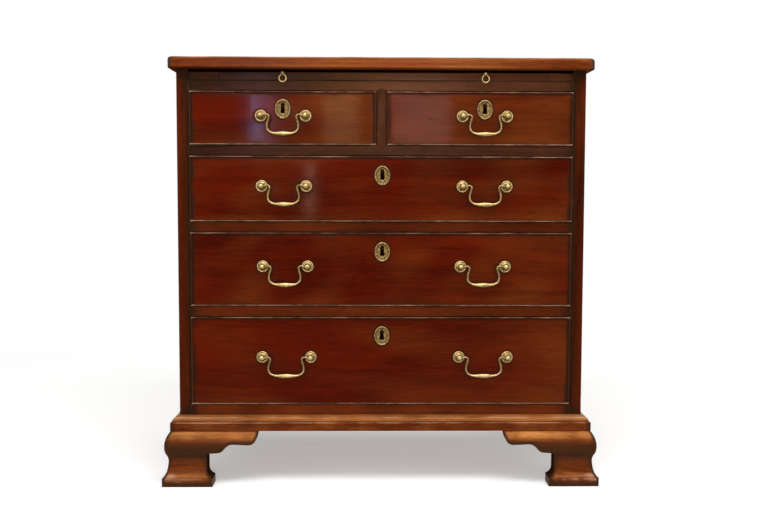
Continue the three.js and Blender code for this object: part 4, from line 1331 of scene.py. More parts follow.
class Bracket:
    """A bracket of a foot. It is drawn flat, as its sawn outline with rounded arrises, cut into small
    cells, and its face is then moved out to the ogee. place puts (along, out, up) in space. One that
    isn't mitred ends square, in line with the back of the case. start is where it begins along."""

    DEPTH = 20 * MM
    ARRIS = 1.8 * MM
    ARRIS_LAYERS = 3
    LAYER_SHARES = (0.3, 0.65)
    FIRST_CELL = 0.8 * MM
    CELL_GROWTH = 1.6
    CELL = 5 * MM
    MITRE_REACH = 50 * MM
    CORNER_RADII = {True: 3 * MM, False: 1.2 * MM}
    # Where a painted golden highlight lies along a foot's crest, and how far it reaches
    GOLDEN_HIGHLIGHT = {"left": (15 * MM, 16 * MM), "right": (95 * MM, 26 * MM)}

    def __init__(self, name, place, inset, grain, ogee=True, mitred=True, start=0.0):
        self.name, self.ogee, self.mitred = name, ogee, mitred
        self.height = FOOT_TOP
        self.foot_length = bpy.context.scene.chest_wood.foot_length
        self.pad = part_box("foot_front_right")[1].x - HALF_CARCASS
        first = (SAWN_SHARES[0][0][0] * self.foot_length - self.pad, 0.0)
        sawn = run_curve(SAWN_SHARES, first, 7, (self.foot_length, self.height), self.pad)
        self.outline = [(start, 0.0)] + sawn + [(start, self.height)]
        self.profile = np.array(run_curve(OGEE_SHARES, (1, 0), 9))
        self.piece = self.drawn_flat(start)
        self.flat = points_of(self.piece)
        self.shape(place, inset)
        self.age(grain)

    def drawn_flat(self, start):
        """The sawn board, lying with its face at 0, cut across where the ogee bends and along its length."""
        arris = self.ARRIS
        angles = [math.pi / 2 * step / self.ARRIS_LAYERS for step in range(self.ARRIS_LAYERS + 1)]
        layers = [(arris * (1 - math.sin(angle)), arris * (1 - math.cos(angle))) for angle in angles]
        layers += [(0.0, arris + (self.DEPTH - arris * 2) * share) for share in self.LAYER_SHARES]
        layers.append((0.0, self.DEPTH))
        work = bmesh.new()
        rings = []
        count = len(self.outline)
        for inwards, down in layers:
            ring = offset_outline(self.outline, [inwards] * (count - 1) + [0.0])
            rings.append([work.verts.new((p.x, down, p.y)) for p in ring])
        work.faces.new(rings[0])
        work.faces.new(list(reversed(rings[-1])))
        for upper, lower in zip(rings, rings[1:]):
            for i in range(count):
                j = (i + 1) % count
                work.faces.new((upper[j], upper[i], lower[i], lower[j]))
        for share in sorted({round(float(up), 4) for up in self.profile[:, 1] if 0 < up < 1}):
            saw_through(work, (0, 0, share * self.height), (0, 0, 1))
        place, step = start + self.FIRST_CELL, self.FIRST_CELL
        while place < self.foot_length - self.pad:
            saw_through(work, (place, 0, 0), (1, 0, 0))
            step = min(step * self.CELL_GROWTH, self.CELL)
            place += step
        mesh = bpy.data.meshes.new(self.name)
        work.to_mesh(mesh)
        work.free()
        return new_object(self.name, mesh)

    def shape(self, place, inset):
        """Moves the face out to the ogee and rounds the corner of the foot."""
        along, down, up = self.flat.T
        arris = self.ARRIS
        out = np.zeros(len(up))
        if self.ogee:
            out = np.interp(up / self.height, self.profile[:, 1], self.profile[:, 0]) * self.pad
        share = held((down - arris) / (self.DEPTH - arris))
        reach = np.where(down <= arris, out - down, out - arris - (out + inset - arris) * share)
        if self.ogee and self.mitred:
            along = along - reach * held(1 - along / self.MITRE_REACH)
        if self.ogee:
            radius = self.CORNER_RADII[self.mitred]
            past_end = out if self.mitred else 0 * out
            self.from_corner = along + past_end
            past = np.maximum(radius - self.from_corner, 0)
            past_face = np.maximum(radius - (out - reach), 0)
            pull = np.maximum(past, past_face) / np.maximum(np.hypot(past, past_face), 1e-9)
            along = np.where(past > 0, radius - past_end - past * pull, along)
            reach = np.where((past > 0) & (past_face > 0), out - radius + past_face * pull, reach)
        self.along = along
        move_points(self.piece, [place(a, o, u) for a, o, u in zip(along, reach, up)])
        tidy_mesh(self.piece.data, 50, 1e-8)

    def age(self, grain):
        """Paints the wear, the painted highlights on the crest, the flare and the top arris, the painted
        shade in the ogee's hollow, along the sawn edge, on the sawn faces and at the mitre, and the dirt near
        the floor, and notes which faces are sawn wood.
        """
        down, up = self.flat[:, 1], self.flat[:, 2]
        points = points_of(self.piece)
        if len(points) != len(self.flat):
            raise RuntimeError(f"{self.name} lost points when its doubles were merged")
        share = up / self.height
        face = near(down - self.ARRIS, 3 * MM)
        patchy = 0.75 + 0.25 * ripple(points, 26 * MM, seed_of(self.name))
        highlight_place, highlight_reach = self.GOLDEN_HIGHLIGHT["left" if "left" in self.name else "right"]
        golden_highlight = bell(self.along - highlight_place, highlight_reach)
        # Painted highlights on the crest under the moulding, golden at one place along it, and on the flare
        # above the pad
        fade = (1.0 + 0.9 * golden_highlight) * bell(share - 0.93, 0.055) + 0.45 * bell(share - 0.2, 0.04) + 0.06
        rim = near(edge_gap(self.flat, self.outline) - self.ARRIS, 2.2 * MM)
        # A painted highlight on the top arris, and wear on the pad's upper arris
        worn = 0.9 * near(self.height - up, 0.9 * MM) + 0.6 * bell(share - 0.15, 0.012) * patchy
        # Painted shade in the ogee's hollow, weak on a flat bracket, dirt near the floor, and painted shade
        # along the sawn edge
        dirt = (0.86 if self.ogee else 0.12) * bell(share - 0.64, 0.2) + 0.4 * near(up, 12 * MM) + 0.95 * rim
        # The sawn faces above the pad are painted as in shade
        dirt = dirt + (down > self.ARRIS * 0.99) * (share > 0.17)
        sawn = (down > self.ARRIS * 0.1) & (share > 0.15)
        if self.ogee:
            # Painted shade at a mitred corner, where the face turns away; a square end has less dirt and
            # shade instead
            corner = near(self.from_corner - 2.5 * MM, 3 * MM)
            if self.mitred:
                dirt += 0.85 * corner
            else:
                dirt *= 1 - 0.65 * near(self.from_corner - 1 * MM, 0.6 * MM)
            # A painted highlight on the flare, strongest near the corner
            flare = bell(share - 0.2, 0.045) * near(self.from_corner - 5 * MM, 26 * MM)
            worn = (worn + flare) * (1 - corner)
            sawn |= self.from_corner < 2 * MM
        paint(self.piece, grain, worn * face * (1 - rim), dirt, fade * patchy * face, points)
        self.sawn_faces = [all(sawn[i] for i in polygon.vertices) for polygon in self.piece.data.polygons]


def saw_through(work, point, normal):
    everything = list(work.verts) + list(work.edges) + list(work.faces)
    bmesh.ops.bisect_plane(work, geom=everything, plane_co=point, plane_no=normal, dist=1e-6)


def edge_gap(flat, outline):
    """How far each drawn point is from the sawn edge, in the plane of the bracket."""
    along_up = flat[:, [0, 2]]
    least = np.full(len(flat), 1.0)
    for start, end in list(zip(outline, outline[1:]))[:-1]:
        a, way = np.array(start), np.array(end) - np.array(start)
        share = held(((along_up - a) @ way) / max(way @ way, 1e-12))
        least = np.minimum(least, np.linalg.norm(along_up - a - share[:, None] * way, axis=1))
    return least


class CHEST_OT_feet(bpy.types.Operator):
    """Makes the four ogee bracket feet, with the glue blocks inside them"""

    bl_idname = "chest.feet"
    bl_label = "Feet"

    INSET = 8 * MM
    BACK_THICKNESS = 18 * MM
    BLOCK = 32 * MM
    BLOCK_LOW = 8 * MM
    BLOCK_CELL = 20 * MM

    def execute(self, context):
        for side, sign in SIDES.items():
            self.foot(f"foot_front_{side}", sign, FRONT, 1)
            self.foot(f"foot_back_{side}", sign, BACK, -1)
        return {"FINISHED"}

    def foot(self, node, sign, corner_y, inwards):
        is_front = inwards > 0

        def facing_front(along, out, up):
            return (sign * (HALF_CARCASS - along), corner_y - inwards * out, up)

        def facing_side(along, out, up):
            return (sign * (HALF_CARCASS + out), corner_y + inwards * along, up)

        shaped = [Bracket(f"{node}_side_bracket", facing_side, self.INSET, ALONG_Y, mitred=is_front)]
        if is_front:
            shaped.append(Bracket(f"{node}_front_bracket", facing_front, self.INSET, ALONG_X))
        for bracket in shaped:
            seat(bracket.piece, "case", "edge", node)
            refinished(bracket.piece, bracket.sawn_faces, "raw")
        behind = self.INSET
        if not is_front:
            behind = self.BACK_THICKNESS
            name = f"{node}_back_bracket"
            plain = Bracket(name, facing_front, behind, ALONG_X, ogee=False, start=self.INSET)
            seat(plain.piece, "case", "pine", node)
        x = sorted(sign * (HALF_CARCASS - inset) for inset in (self.INSET, self.INSET + self.BLOCK))
        y = sorted(corner_y + inwards * inset for inset in (behind, self.INSET + self.BLOCK))
        corners = (x[0], y[0], self.BLOCK_LOW), (x[1], y[1], FOOT_TOP)
        fitted(f"{node}_glue_block", *corners, ALONG_Z, "case", "pine", cell=self.BLOCK_CELL)


# Drawers


class Drawer:
    """The places of one drawer, from its nodes."""

    LOCK_DROPS = {"short": 35 * MM, "long": 38 * MM}
    KEYHOLE_RISE = 7.9 * MM
    PLATE_RISE = 1 * MM

    def __init__(self, name):
        self.name = name
        self.body = f"{name}_drawer"
        self.low, self.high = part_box(f"{name}_front")
        self.box_low, self.box_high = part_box(f"{name}_box")
        self.bolt_low, self.bolt_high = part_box(f"{name}_lock_bolt")
        self.face = self.high.y
        self.lock_x = (self.bolt_low.x + self.bolt_high.x) / 2
        self.lock_z = self.high.z - self.LOCK_DROPS[name.split("_")[0]]
        self.handles = [name] if name in SHORT_DRAWERS else [f"{name}_left", f"{name}_right"]

    def posts(self, handle):
        """The middles of a handle's two posts."""
        boxes = [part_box(f"{handle}_post_{letter}") for letter in "ab"]
        return [((low.x + high.x) / 2, (low.z + high.z) / 2) for low, high in boxes]


TAIL = {"length": 14 * MM, "splay": 2.4 * MM, "pitch": 32 * MM, "share": 0.62, "back": 9 * MM}


def tail_outlines(low, high, face, way, depth, spare=0.0, past=0.0):
    """Dovetails in Y and Z between two heights, as outlines that reach from a face. past draws a cutter's
    root on behind the face."""
    count = max(2, round((high - low) / TAIL["pitch"]))
    pitch = (high - low) / count
    made = []
    for index in range(count):
        middle = low + pitch * (index + 0.5)
        root = pitch * TAIL["share"] / 2 + spare
        tip = root + TAIL["splay"]
        end = face + way * (depth + spare)
        outline = [(face, middle - root), (end, middle - tip), (end, middle + tip), (face, middle + root)]
        if past:
            outline = [(face - way * past, middle - root), *outline, (face - way * past, middle + root)]
        made.append(outline)
    return made


KEYHOLE = {"head": 4.2 * MM, "waist": 3.3 * MM, "foot": 4.4 * MM, "drop": 15 * MM, "corner": 1.2 * MM}


def keyhole_outline(x, z, spare=0.0):
    """A keyhole with a round head at this place, and a slot that widens a little towards its foot."""
    radius, waist, foot = (KEYHOLE[part] + spare for part in ("head", "waist", "foot"))
    low, corner = z - KEYHOLE["drop"] - spare, KEYHOLE["corner"]
    start = math.degrees(math.asin(waist / radius))
    head = arc((x, z), radius, start - 90, 270 - start, 20)
    left = [(x - foot, low + corner), (x - foot + corner, low)]
    right = [(x + foot - corner, low), (x + foot, low + corner)]
    return head + left + right


def keyhole_cutter(drawer, span, spare=0.0):
    outline = keyhole_outline(drawer.lock_x, drawer.lock_z + drawer.KEYHOLE_RISE, spare)
    return extruded("cutter", outline, span)


# Half a lock's width, and how far its case's foot and head and its top plate's underside are below the top
LOCK_HALF = 31 * MM
LOCK_FOOT = 51 * MM
LOCK_HEAD = 7 * MM
SELVEDGE = 1.4 * MM


class CHEST_OT_fronts(bpy.types.Operator):
    """Makes the drawer fronts and the cock beads round them"""

    bl_idname = "chest.fronts"
    bl_label = "Drawer fronts"

    ARRIS = 0.4 * MM
    CELL = 4 * MM
    SOCKET_SPARE = 0.15 * MM
    BOLT_SPARE = 0.3 * MM
    BOLT_DEPTH = 12 * MM
    BEAD_PROUD = 2.4 * MM
    BEAD_CELL = 5 * MM
    BEAD_STEPS = 8
    # The least and most wear on each bead's nose; the top and bottom beads get more, as a painted highlight
    # where light falls on them
    BEAD_WEAR = {"top": (0.38, 0.62), "bottom": (0.5, 0.68), "left": (0.12, 0.32), "right": (0.08, 0.26)}
    KNOT = (92.6 * MM, 702 * MM)
    # Where a front's fading starts and how far it runs, how faded it is there and how much that changes; on
    # the right it is partly a painted reflected haze
    FADES = {"short_left": (-230 * MM, 200 * MM, 0.08, 0.4), "short_right": (200 * MM, 160 * MM, 0.5, -0.1)}
    # The long drawers' fading, partly a painted reflected haze on the right
    LONG_FADE = (20 * MM, 330 * MM, 0.05, 0.26)

    def execute(self, context):
        wood = context.scene.chest_wood
        for name in DRAWERS:
            drawer = Drawer(name)
            self.front(drawer, wood)
            self.beads(drawer, wood)
        return {"FINISHED"}

    def front(self, drawer, wood):
        low, high, face, bead, x = drawer.low, drawer.high, drawer.face, wood.bead, drawer.lock_x
        bed, top = FRONT + wood.bead_depth - self.BEAD_PROUD, high.z
        bead_bed = (low.x - PAST, high.x + PAST), (FRONT - PAST, bed)
        lock_bed = (x - LOCK_HALF, x + LOCK_HALF), (bed, face + PAST)
        cutters = [
            box_cutter(*bead_bed, (top - bead, top + PAST)),
            box_cutter(*bead_bed, (low.z - PAST, low.z + bead)),
            box_cutter(*lock_bed, (top - LOCK_FOOT, top - LOCK_HEAD)),
            box_cutter(*lock_bed, (top - SELVEDGE, top + PAST)),
            bolt_cutter(drawer.name, self.BOLT_SPARE, top - self.BOLT_DEPTH, top + PAST),
            keyhole_cutter(drawer, (FRONT - FAR_PAST, face + FAR_PAST)),
        ]
        heights = drawer.box_low.z, drawer.box_high.z
        for edge, way in ((drawer.box_low.x, 1), (drawer.box_high.x, -1)):
            span = sorted((edge - way * PAST, edge + way * (wood.lining + self.SOCKET_SPARE)))
            for outline in tail_outlines(*heights, face, -1, TAIL["length"], self.SOCKET_SPARE, PAST):
                cutters.append(extruded("cutter", outline, span, ALONG_X))
        corners = (drawer.box_low.x, FRONT, low.z), (drawer.box_high.x, face, top)
        looks = {"arris": self.ARRIS, "cell": self.CELL, "cutters": cutters}
        piece = board(f"{drawer.name}_front_board", *corners, ALONG_X, **looks)
        points = points_of(piece)
        paint(piece, ALONG_X, 0.0, self.dirt(drawer, points, bead), self.fade(drawer, points), points)
        seat(piece, drawer.body, "front", f"{drawer.name}_front")

    def dirt(self, drawer, points, bead):
        """Painted shade along the beads and a soft wider band of it round the edges, grime and painted shade
        round the roses, painted shade behind each bail, grime round the keyhole's plate, and one dark knot.
        """
        x, z = points[:, 0], points[:, 2]
        across = np.minimum(x - drawer.low.x, drawer.high.x - x) - bead
        upright = np.minimum(z - drawer.low.z, (drawer.high.z - z) * 0.6) - bead * 0.6
        patchy = 0.75 + 0.25 * ripple(points, 50 * MM, seed_of(drawer.name) + 7)
        # Painted shade beside the beads: a dark band at the ends and a thin one under the top bead
        dirt = np.maximum(0.95 * near(across - 2.5 * MM, 4.5 * MM) * patchy, 0.85 * near(upright, 2 * MM))
        # A soft wider band of painted shade round the edges
        dirt = np.maximum(dirt, 0.42 * near(np.minimum(across, upright * 1.6), 16 * MM) * patchy)
        for handle in drawer.handles:
            places = drawer.posts(handle)
            for post_x, post_z in places:
                # Grime and painted shade round each rose
                dirt = np.maximum(dirt, 0.8 * near(np.hypot(x - post_x, z - post_z) - 11 * MM, 4 * MM))
            chain = np.array(bail_chain(places))[:, [0, 2]]
            away = np.linalg.norm(points[:, None, [0, 2]] - chain[None, ::3], axis=2).min(axis=1)
            # Painted shade behind the bail
            dirt = np.maximum(dirt, 0.5 * near(away - 3 * MM, 9 * MM))
        oval = np.hypot((x - drawer.lock_x) / 14.7, (z - drawer.lock_z - drawer.PLATE_RISE) / 18.6) * 14.7
        dirt = np.maximum(dirt, 0.85 * near(oval - 14.7 * MM, 3.5 * MM))
        knot = np.hypot(x - self.KNOT[0], (z - self.KNOT[1]) * 1.6)
        dirt = np.maximum(dirt, bell(knot, 3.2 * MM))
        return np.where(points[:, 1] < FRONT + 1 * MM, dirt, 0.2)

    def fade(self, drawer, points):
        # Fading that changes across the front as its table says, partly a painted reflected haze on the
        # right, over slow clouds, and lighter along the bottom
        wander = 0.18 * ripple(points * (1, 1, 2.5), 150 * MM, seed_of(drawer.name))
        wander += 0.3 * near(points[:, 2] - drawer.low.z - 3 * MM, 12 * MM)
        start, run, first, change = self.FADES.get(drawer.name, self.LONG_FADE)
        return first + change * held((points[:, 0] - start) / run) + wander

    def beads(self, drawer, wood):
        low, high, thick = drawer.low, drawer.high, wood.bead
        nose = thick / 2
        outline = [(0, wood.bead_depth, 0.0), (0, nose, 0.15)]
        for step in range(1, self.BEAD_STEPS):
            angle = math.pi * step / self.BEAD_STEPS
            outline.append((nose - nose * math.cos(angle), nose - nose * math.sin(angle), math.sin(angle)))
        outline += [(thick, nose, 0.05), (thick, wood.bead_depth, 0.0)]

        def corner(side_x, side_z):
            x = low.x if side_x < 0 else high.x
            z = low.z if side_z < 0 else high.z
            return lambda inset, depth: (x - side_x * inset, low.y + depth, z - side_z * inset)

        lengths = {
            "top": ((-1, 1), (1, 1), ALONG_X),
            "bottom": ((-1, -1), (1, -1), ALONG_X),
            "left": ((-1, -1), (-1, 1), ALONG_Z),
            "right": ((1, -1), (1, 1), ALONG_Z),
        }
        for side, (first, last, grain) in lengths.items():
            name = f"{drawer.name}_bead_{side}"
            piece = strip(name, outline, corner(*first), corner(*last), self.BEAD_CELL)
            points = points_of(piece)
            from_end = np.minimum(points[:, 0] - low.x, high.x - points[:, 0])
            corners = np.hypot(from_end, np.minimum(points[:, 2] - low.z, high.z - points[:, 2]))
            nose_wear = worn_and_highlight_of(piece)
            least, most = self.BEAD_WEAR[side]
            patchy = 0.5 + 0.5 * ripple(points, 130 * MM, seed_of(piece.name))
            worn = nose_wear * (least + (most - least) * patchy + 0.45 * near(corners, 4 * MM))
            # Painted shade where the bead meets the front
            dirt = 0.55 * near(points[:, 1] - FRONT, 1.2 * MM) * (1 - nose_wear)
            paint(piece, grain, worn, dirt, 0.12, points)
            seat(piece, drawer.body, "bead", f"{drawer.name}_front")


class CHEST_OT_boxes(bpy.types.Operator):
    """Makes the drawers' linings, backs and bottoms, dovetailed together"""

    bl_idname = "chest.boxes"
    bl_label = "Drawer boxes"

    FLOOR_LIFT = 7.7 * MM
    FLOOR_THICKNESS = 7 * MM
    BACK_DROP = 10 * MM
    GAP = 0.1 * MM
    SOCKET_SPARE = 0.12 * MM
    LINING_ARRIS = 0.35 * MM
    BACK_ARRIS = 0.5 * MM
    FLOOR_ARRIS = 0.3 * MM
    CELL = 30 * MM

    def execute(self, context):
        for name in DRAWERS:
            self.box(Drawer(name), context.scene.chest_wood)
        return {"FINISHED"}

    def box(self, drawer, wood):
        low, high, name = drawer.box_low, drawer.box_high, drawer.name
        floor = low.z + self.FLOOR_LIFT
        floor_top = floor + self.FLOOR_THICKNESS
        back_face, back_top = high.y - TAIL["back"], high.z - self.BACK_DROP
        tails = floor_top, back_top, back_face, 1, TAIL["back"]
        cutters = []
        for side, edge, way in (("left", low.x, 1), ("right", high.x, -1)):
            self.lining(drawer, side, sorted((edge, edge + way * wood.lining)), tails)
        for edge, way in ((low.x, 1), (high.x, -1)):
            span = sorted((edge - way * PAST, edge + way * (wood.lining + self.GAP)))
            for root_low, tip_low, tip_high, root_high in tail_outlines(*tails, self.SOCKET_SPARE):
                tips = [(y + PAST, z) for y, z in (tip_low, tip_high)]
                cutters.append(extruded("cutter", [root_low, *tips, root_high], span, ALONG_X))
        looks = {"arris": self.BACK_ARRIS, "cell": self.CELL, "cutters": cutters}
        first = (low.x, back_face + self.GAP / 2, floor_top + self.GAP)
        last = (high.x, high.y, back_top)
        fitted(f"{name}_back", first, last, ALONG_X, drawer.body, "oak", f"{name}_box", **looks)

        def dirt(points):
            return 0.5 * near(points[:, 1] - drawer.face, 25 * MM)

        looks = {"arris": self.FLOOR_ARRIS, "cell": self.CELL, "dirt": dirt}
        first = (low.x + wood.lining, drawer.face + self.GAP, floor)
        last = (high.x - wood.lining, high.y, floor_top)
        grain = ALONG_X if name in LONG_DRAWERS else ALONG_Y
        fitted(f"{name}_bottom", first, last, grain, drawer.body, "oak", f"{name}_box", **looks)

    def lining(self, drawer, side, span, back_tails):
        """One side of a drawer, with its tails at both ends."""
        low, high = drawer.box_low, drawer.box_high
        floor_top, back_top, end = back_tails[:3]
        start = drawer.face + self.GAP
        outline = [(start, low.z), (end, low.z), (end, floor_top)]
        for tail in tail_outlines(*back_tails):
            outline += tail
        outline += [(end, back_top), (end, high.z), (start, high.z)]
        for tail in reversed(tail_outlines(low.z, high.z, start, -1, TAIL["length"])):
            outline += reversed(tail)
        piece = extruded(f"{drawer.name}_lining_{side}", outline, span, ALONG_X)
        bevelled(piece, self.LINING_ARRIS, 2)
        points = points_of(piece)
        worn = 0.4 * near(high.z - points[:, 2], 2.5 * MM)
        paint(piece, ALONG_Y, worn, 0.25 + 0.3 * near(points[:, 2] - low.z, 6 * MM), 0.0, points)
        seat(piece, drawer.body, "oak", f"{drawer.name}_box")


class CHEST_OT_locks(bpy.types.Operator):
    """Makes the locks, their bolts, and the oval plates round the keyholes"""

    bl_idname = "chest.locks"
    bl_label = "Locks and keyhole plates"

    CASE_DEPTH = 10 * MM
    GAP = 0.1 * MM
    BOLT_SPARE = 0.2 * MM
    KEY_SPARE = -0.4 * MM
    PLATE_SPARE = -0.05 * MM
    KEY_PAST_BOLT = 4 * MM
    KEY_PIN_DROP = 0.4 * MM
    # Radius, rise and slot of a screw, sizes of a dot and rise and shank of a pin
    SCREW = (3 * MM, 0.9 * MM, 0.7 * MM)
    DOT = (0.42 * MM, 0.22 * MM, 0, 0.4 * MM, 8)
    PIN = (0.3 * MM, 0, 5 * MM)
    PIN_SINK = 0.05 * MM
    CELL = 12 * MM
    CASE_ARRIS = 0.7 * MM
    SELVEDGE_ARRIS = 0.3 * MM
    BOLT_ARRIS = 0.8 * MM
    # Places of a lock's screws and a plate's pins, and the outline of the pin in a keyhole, in millimetres
    SCREWS = ((-25, 13), (-25, 45), (25, 13), (25, 45))
    PINS = ((0, 15.2), (0, -14.6), (-11, -1.5), (11, -1.2))
    KEY_PIN = ((0, -8), (1.5, -8), (1.5, -2.2), (1.1, -1.6), (0, -1.4))
    # The plate's section: in from its rim in millimetres, and out as a share of its thickness
    RIM_SHARES = ((0.35, 0.8), (1.0, 1), (1.7, 0.97), (2.3, 0.75), (2.7, 0.5), (3.2, 0.42))
    BED_SHARE = 0.46
    # Each ring of dots: how many, and its size as a share of the plate's
    DOT_SHARES = ((30, 0.70), (24, 0.56), (18, 0.42))
    KEYHOLE_ROOM = (5 * MM, -9.5 * MM, 12.5 * MM)

    def execute(self, context):
        for name in DRAWERS:
            drawer = Drawer(name)
            self.lock(drawer)
            self.plate(drawer, context.scene.chest_brass)
        return {"FINISHED"}

    def lock(self, drawer):
        x, face, top, name, body = drawer.lock_x, drawer.face, drawer.high.z, drawer.name, drawer.body
        left, right = x - LOCK_HALF + self.GAP, x + LOCK_HALF - self.GAP
        bed = face - self.CASE_DEPTH + self.GAP
        cutters = [bolt_cutter(name, self.BOLT_SPARE, drawer.bolt_low.z - self.BOLT_SPARE, top + PAST)]
        key_way = FRONT, drawer.bolt_low.y + self.KEY_PAST_BOLT
        cutters.append(keyhole_cutter(drawer, key_way, self.KEY_SPARE))
        first, last = (left, bed, top - LOCK_FOOT + self.GAP), (right, face, top - LOCK_HEAD - self.GAP)
        looks = {"arris": self.CASE_ARRIS, "cell": self.CELL, "cutters": cutters}
        fitted(f"{name}_lock_case", first, last, ALONG_X, body, "iron", **looks)
        cutters = [bolt_cutter(name, self.BOLT_SPARE, top - FAR_PAST, top + PAST)]
        first, last = (left, bed, top - SELVEDGE), (right, face, top - self.GAP)
        looks = {"arris": self.SELVEDGE_ARRIS, "cell": self.CELL, "cutters": cutters}
        fitted(f"{name}_lock_selvedge", first, last, ALONG_X, body, "brass", **looks)
        corners = drawer.bolt_low, drawer.bolt_high
        bolt, looks = f"{name}_lock_bolt", {"arris": self.BOLT_ARRIS, "cell": self.CELL / 2}
        fitted(f"{bolt}_bar", *corners, ALONG_Z, f"{name}_lock", "iron", bolt, **looks)
        heads = [(x + a * MM, face, top - b * MM) for a, b in self.SCREWS]
        fixings(f"{name}_lock_screws", heads, (0, 1, 0), body, "iron", *self.SCREW)
        middle = (x, FRONT, drawer.lock_z + drawer.KEYHOLE_RISE - self.KEY_PIN_DROP)
        seat(turned(f"{name}_lock_pin", in_metres(self.KEY_PIN), middle, 20), body, "iron")

    def plate(self, drawer, brass):
        half, tall, thick = brass.plate_width / 2, brass.plate_height / 2, brass.plate_thickness
        bed = self.BED_SHARE * thick
        profile = [(0, 0), (half, 0), (half, 0.35 * thick)]
        profile += [(half - inwards * MM, share * thick) for inwards, share in self.RIM_SHARES]
        profile += [(half * 0.55, bed), (0, bed)]
        middle = np.array((drawer.lock_x, FRONT, drawer.lock_z + drawer.PLATE_RISE))
        plate = turned(f"{drawer.name}_keyhole_plate", profile, (0, 0, 0), 72)
        move_points(plate, points_of(plate) * (1, 1, tall / half) + middle)
        cut(plate, [keyhole_cutter(drawer, (FRONT - FAR_PAST, FRONT + FAR_PAST), self.PLATE_SPARE)], 30)
        points = points_of(plate) - middle
        from_rim = np.abs(half - 1 * MM - np.hypot(points[:, 0], points[:, 2] * half / tall))
        ridge, groove = near(from_rim, 0.7 * MM), near(np.abs(from_rim - 2 * MM), 0.5 * MM)
        rubbed_and_highlighted(plate, 0.36 + 0.12 * ridge - 0.2 * groove)
        seat(plate, drawer.body, "plate")
        height = FRONT - bed
        dots = []
        for count, share in self.DOT_SHARES:
            for index in range(count):
                angle = math.tau * (index + 0.5 * (count % 4)) / count
                x, z = half * share * math.cos(angle), tall * share * math.sin(angle) * 1.04
                if abs(x) > self.KEYHOLE_ROOM[0] or not self.KEYHOLE_ROOM[1] < z < self.KEYHOLE_ROOM[2]:
                    dots.append((middle[0] + x, height, middle[2] + z))
        fixings(f"{drawer.name}_plate_dots", dots, (0, -1, 0), drawer.body, "plate", *self.DOT)
        pins = [(middle[0] + a * MM, height - self.PIN_SINK, middle[2] + b * MM) for a, b in self.PINS]
        fixings(f"{drawer.name}_plate_pins", pins, (0, -1, 0), drawer.body, "iron", brass.pin, *self.PIN)


# The swan neck of a bail, in millimetres: inwards from the ball's inner face and up from its pin
NECK = (
    (2.3, 0.9), (5.7, 1.5), (9.2, 0), (10.4, -3), (9.5, -8), (7.6, -13.9), (6.8, -19), (7.1, -24.2),
    (9.2, -28.3), (13, -31.2), (18, -33.2), (24.5, -34), (31, -34.2),
)
BALL_STANDOFF = 14 * MM
PIN_REACH = 3.5 * MM


def bail_chain(posts):
    """The middle line of a bail, from the pin in one ball to the pin in the other."""
    ball = bpy.context.scene.chest_brass.ball
    (left, z), (right, _) = posts
    middle, spacing = (left + right) / 2, right - left
    half = [(spacing / 2 + PIN_REACH, 0), (spacing / 2, 0), (spacing / 2 - ball, 0)]
    half += [(spacing / 2 - ball - inwards * MM, up * MM) for inwards, up in NECK]
    flat = [Vector(p) for p in half] + [Vector((-x, up)) for x, up in reversed(half)]
    chain = [flat[0]]
    for before, here, there, after in zip([flat[0], *flat], flat, flat[1:], [*flat[2:], flat[-1]]):
        span = (there - here).length / 3
        pull_here = here + (there - before).normalized() * span
        pull_there = there - (after - here).normalized() * span
        chain += [Vector(p) for p in bezier((here, pull_here, pull_there, there), 4)]
    return [(middle + p.x, FRONT - BALL_STANDOFF, z + p.y) for p in chain]


def hole_cutter(place, length, radius, sides):
    """Cuts a round hole along X from this place."""
    return turned("cutter", [(0, 0), (radius, 0), (radius, length), (0, length)], place, sides, ALONG_X)


def ball_outline(radius, standoff, neck, steps):
    """A ball's radius and rise from its neck to its top."""
    start = math.asin(neck / radius)
    angles = [start + (math.pi - start) * step / steps for step in range(1, steps)]
    ball = [(radius * math.sin(angle), standoff - radius * math.cos(angle)) for angle in angles]
    return [*ball, (0, standoff + radius)]


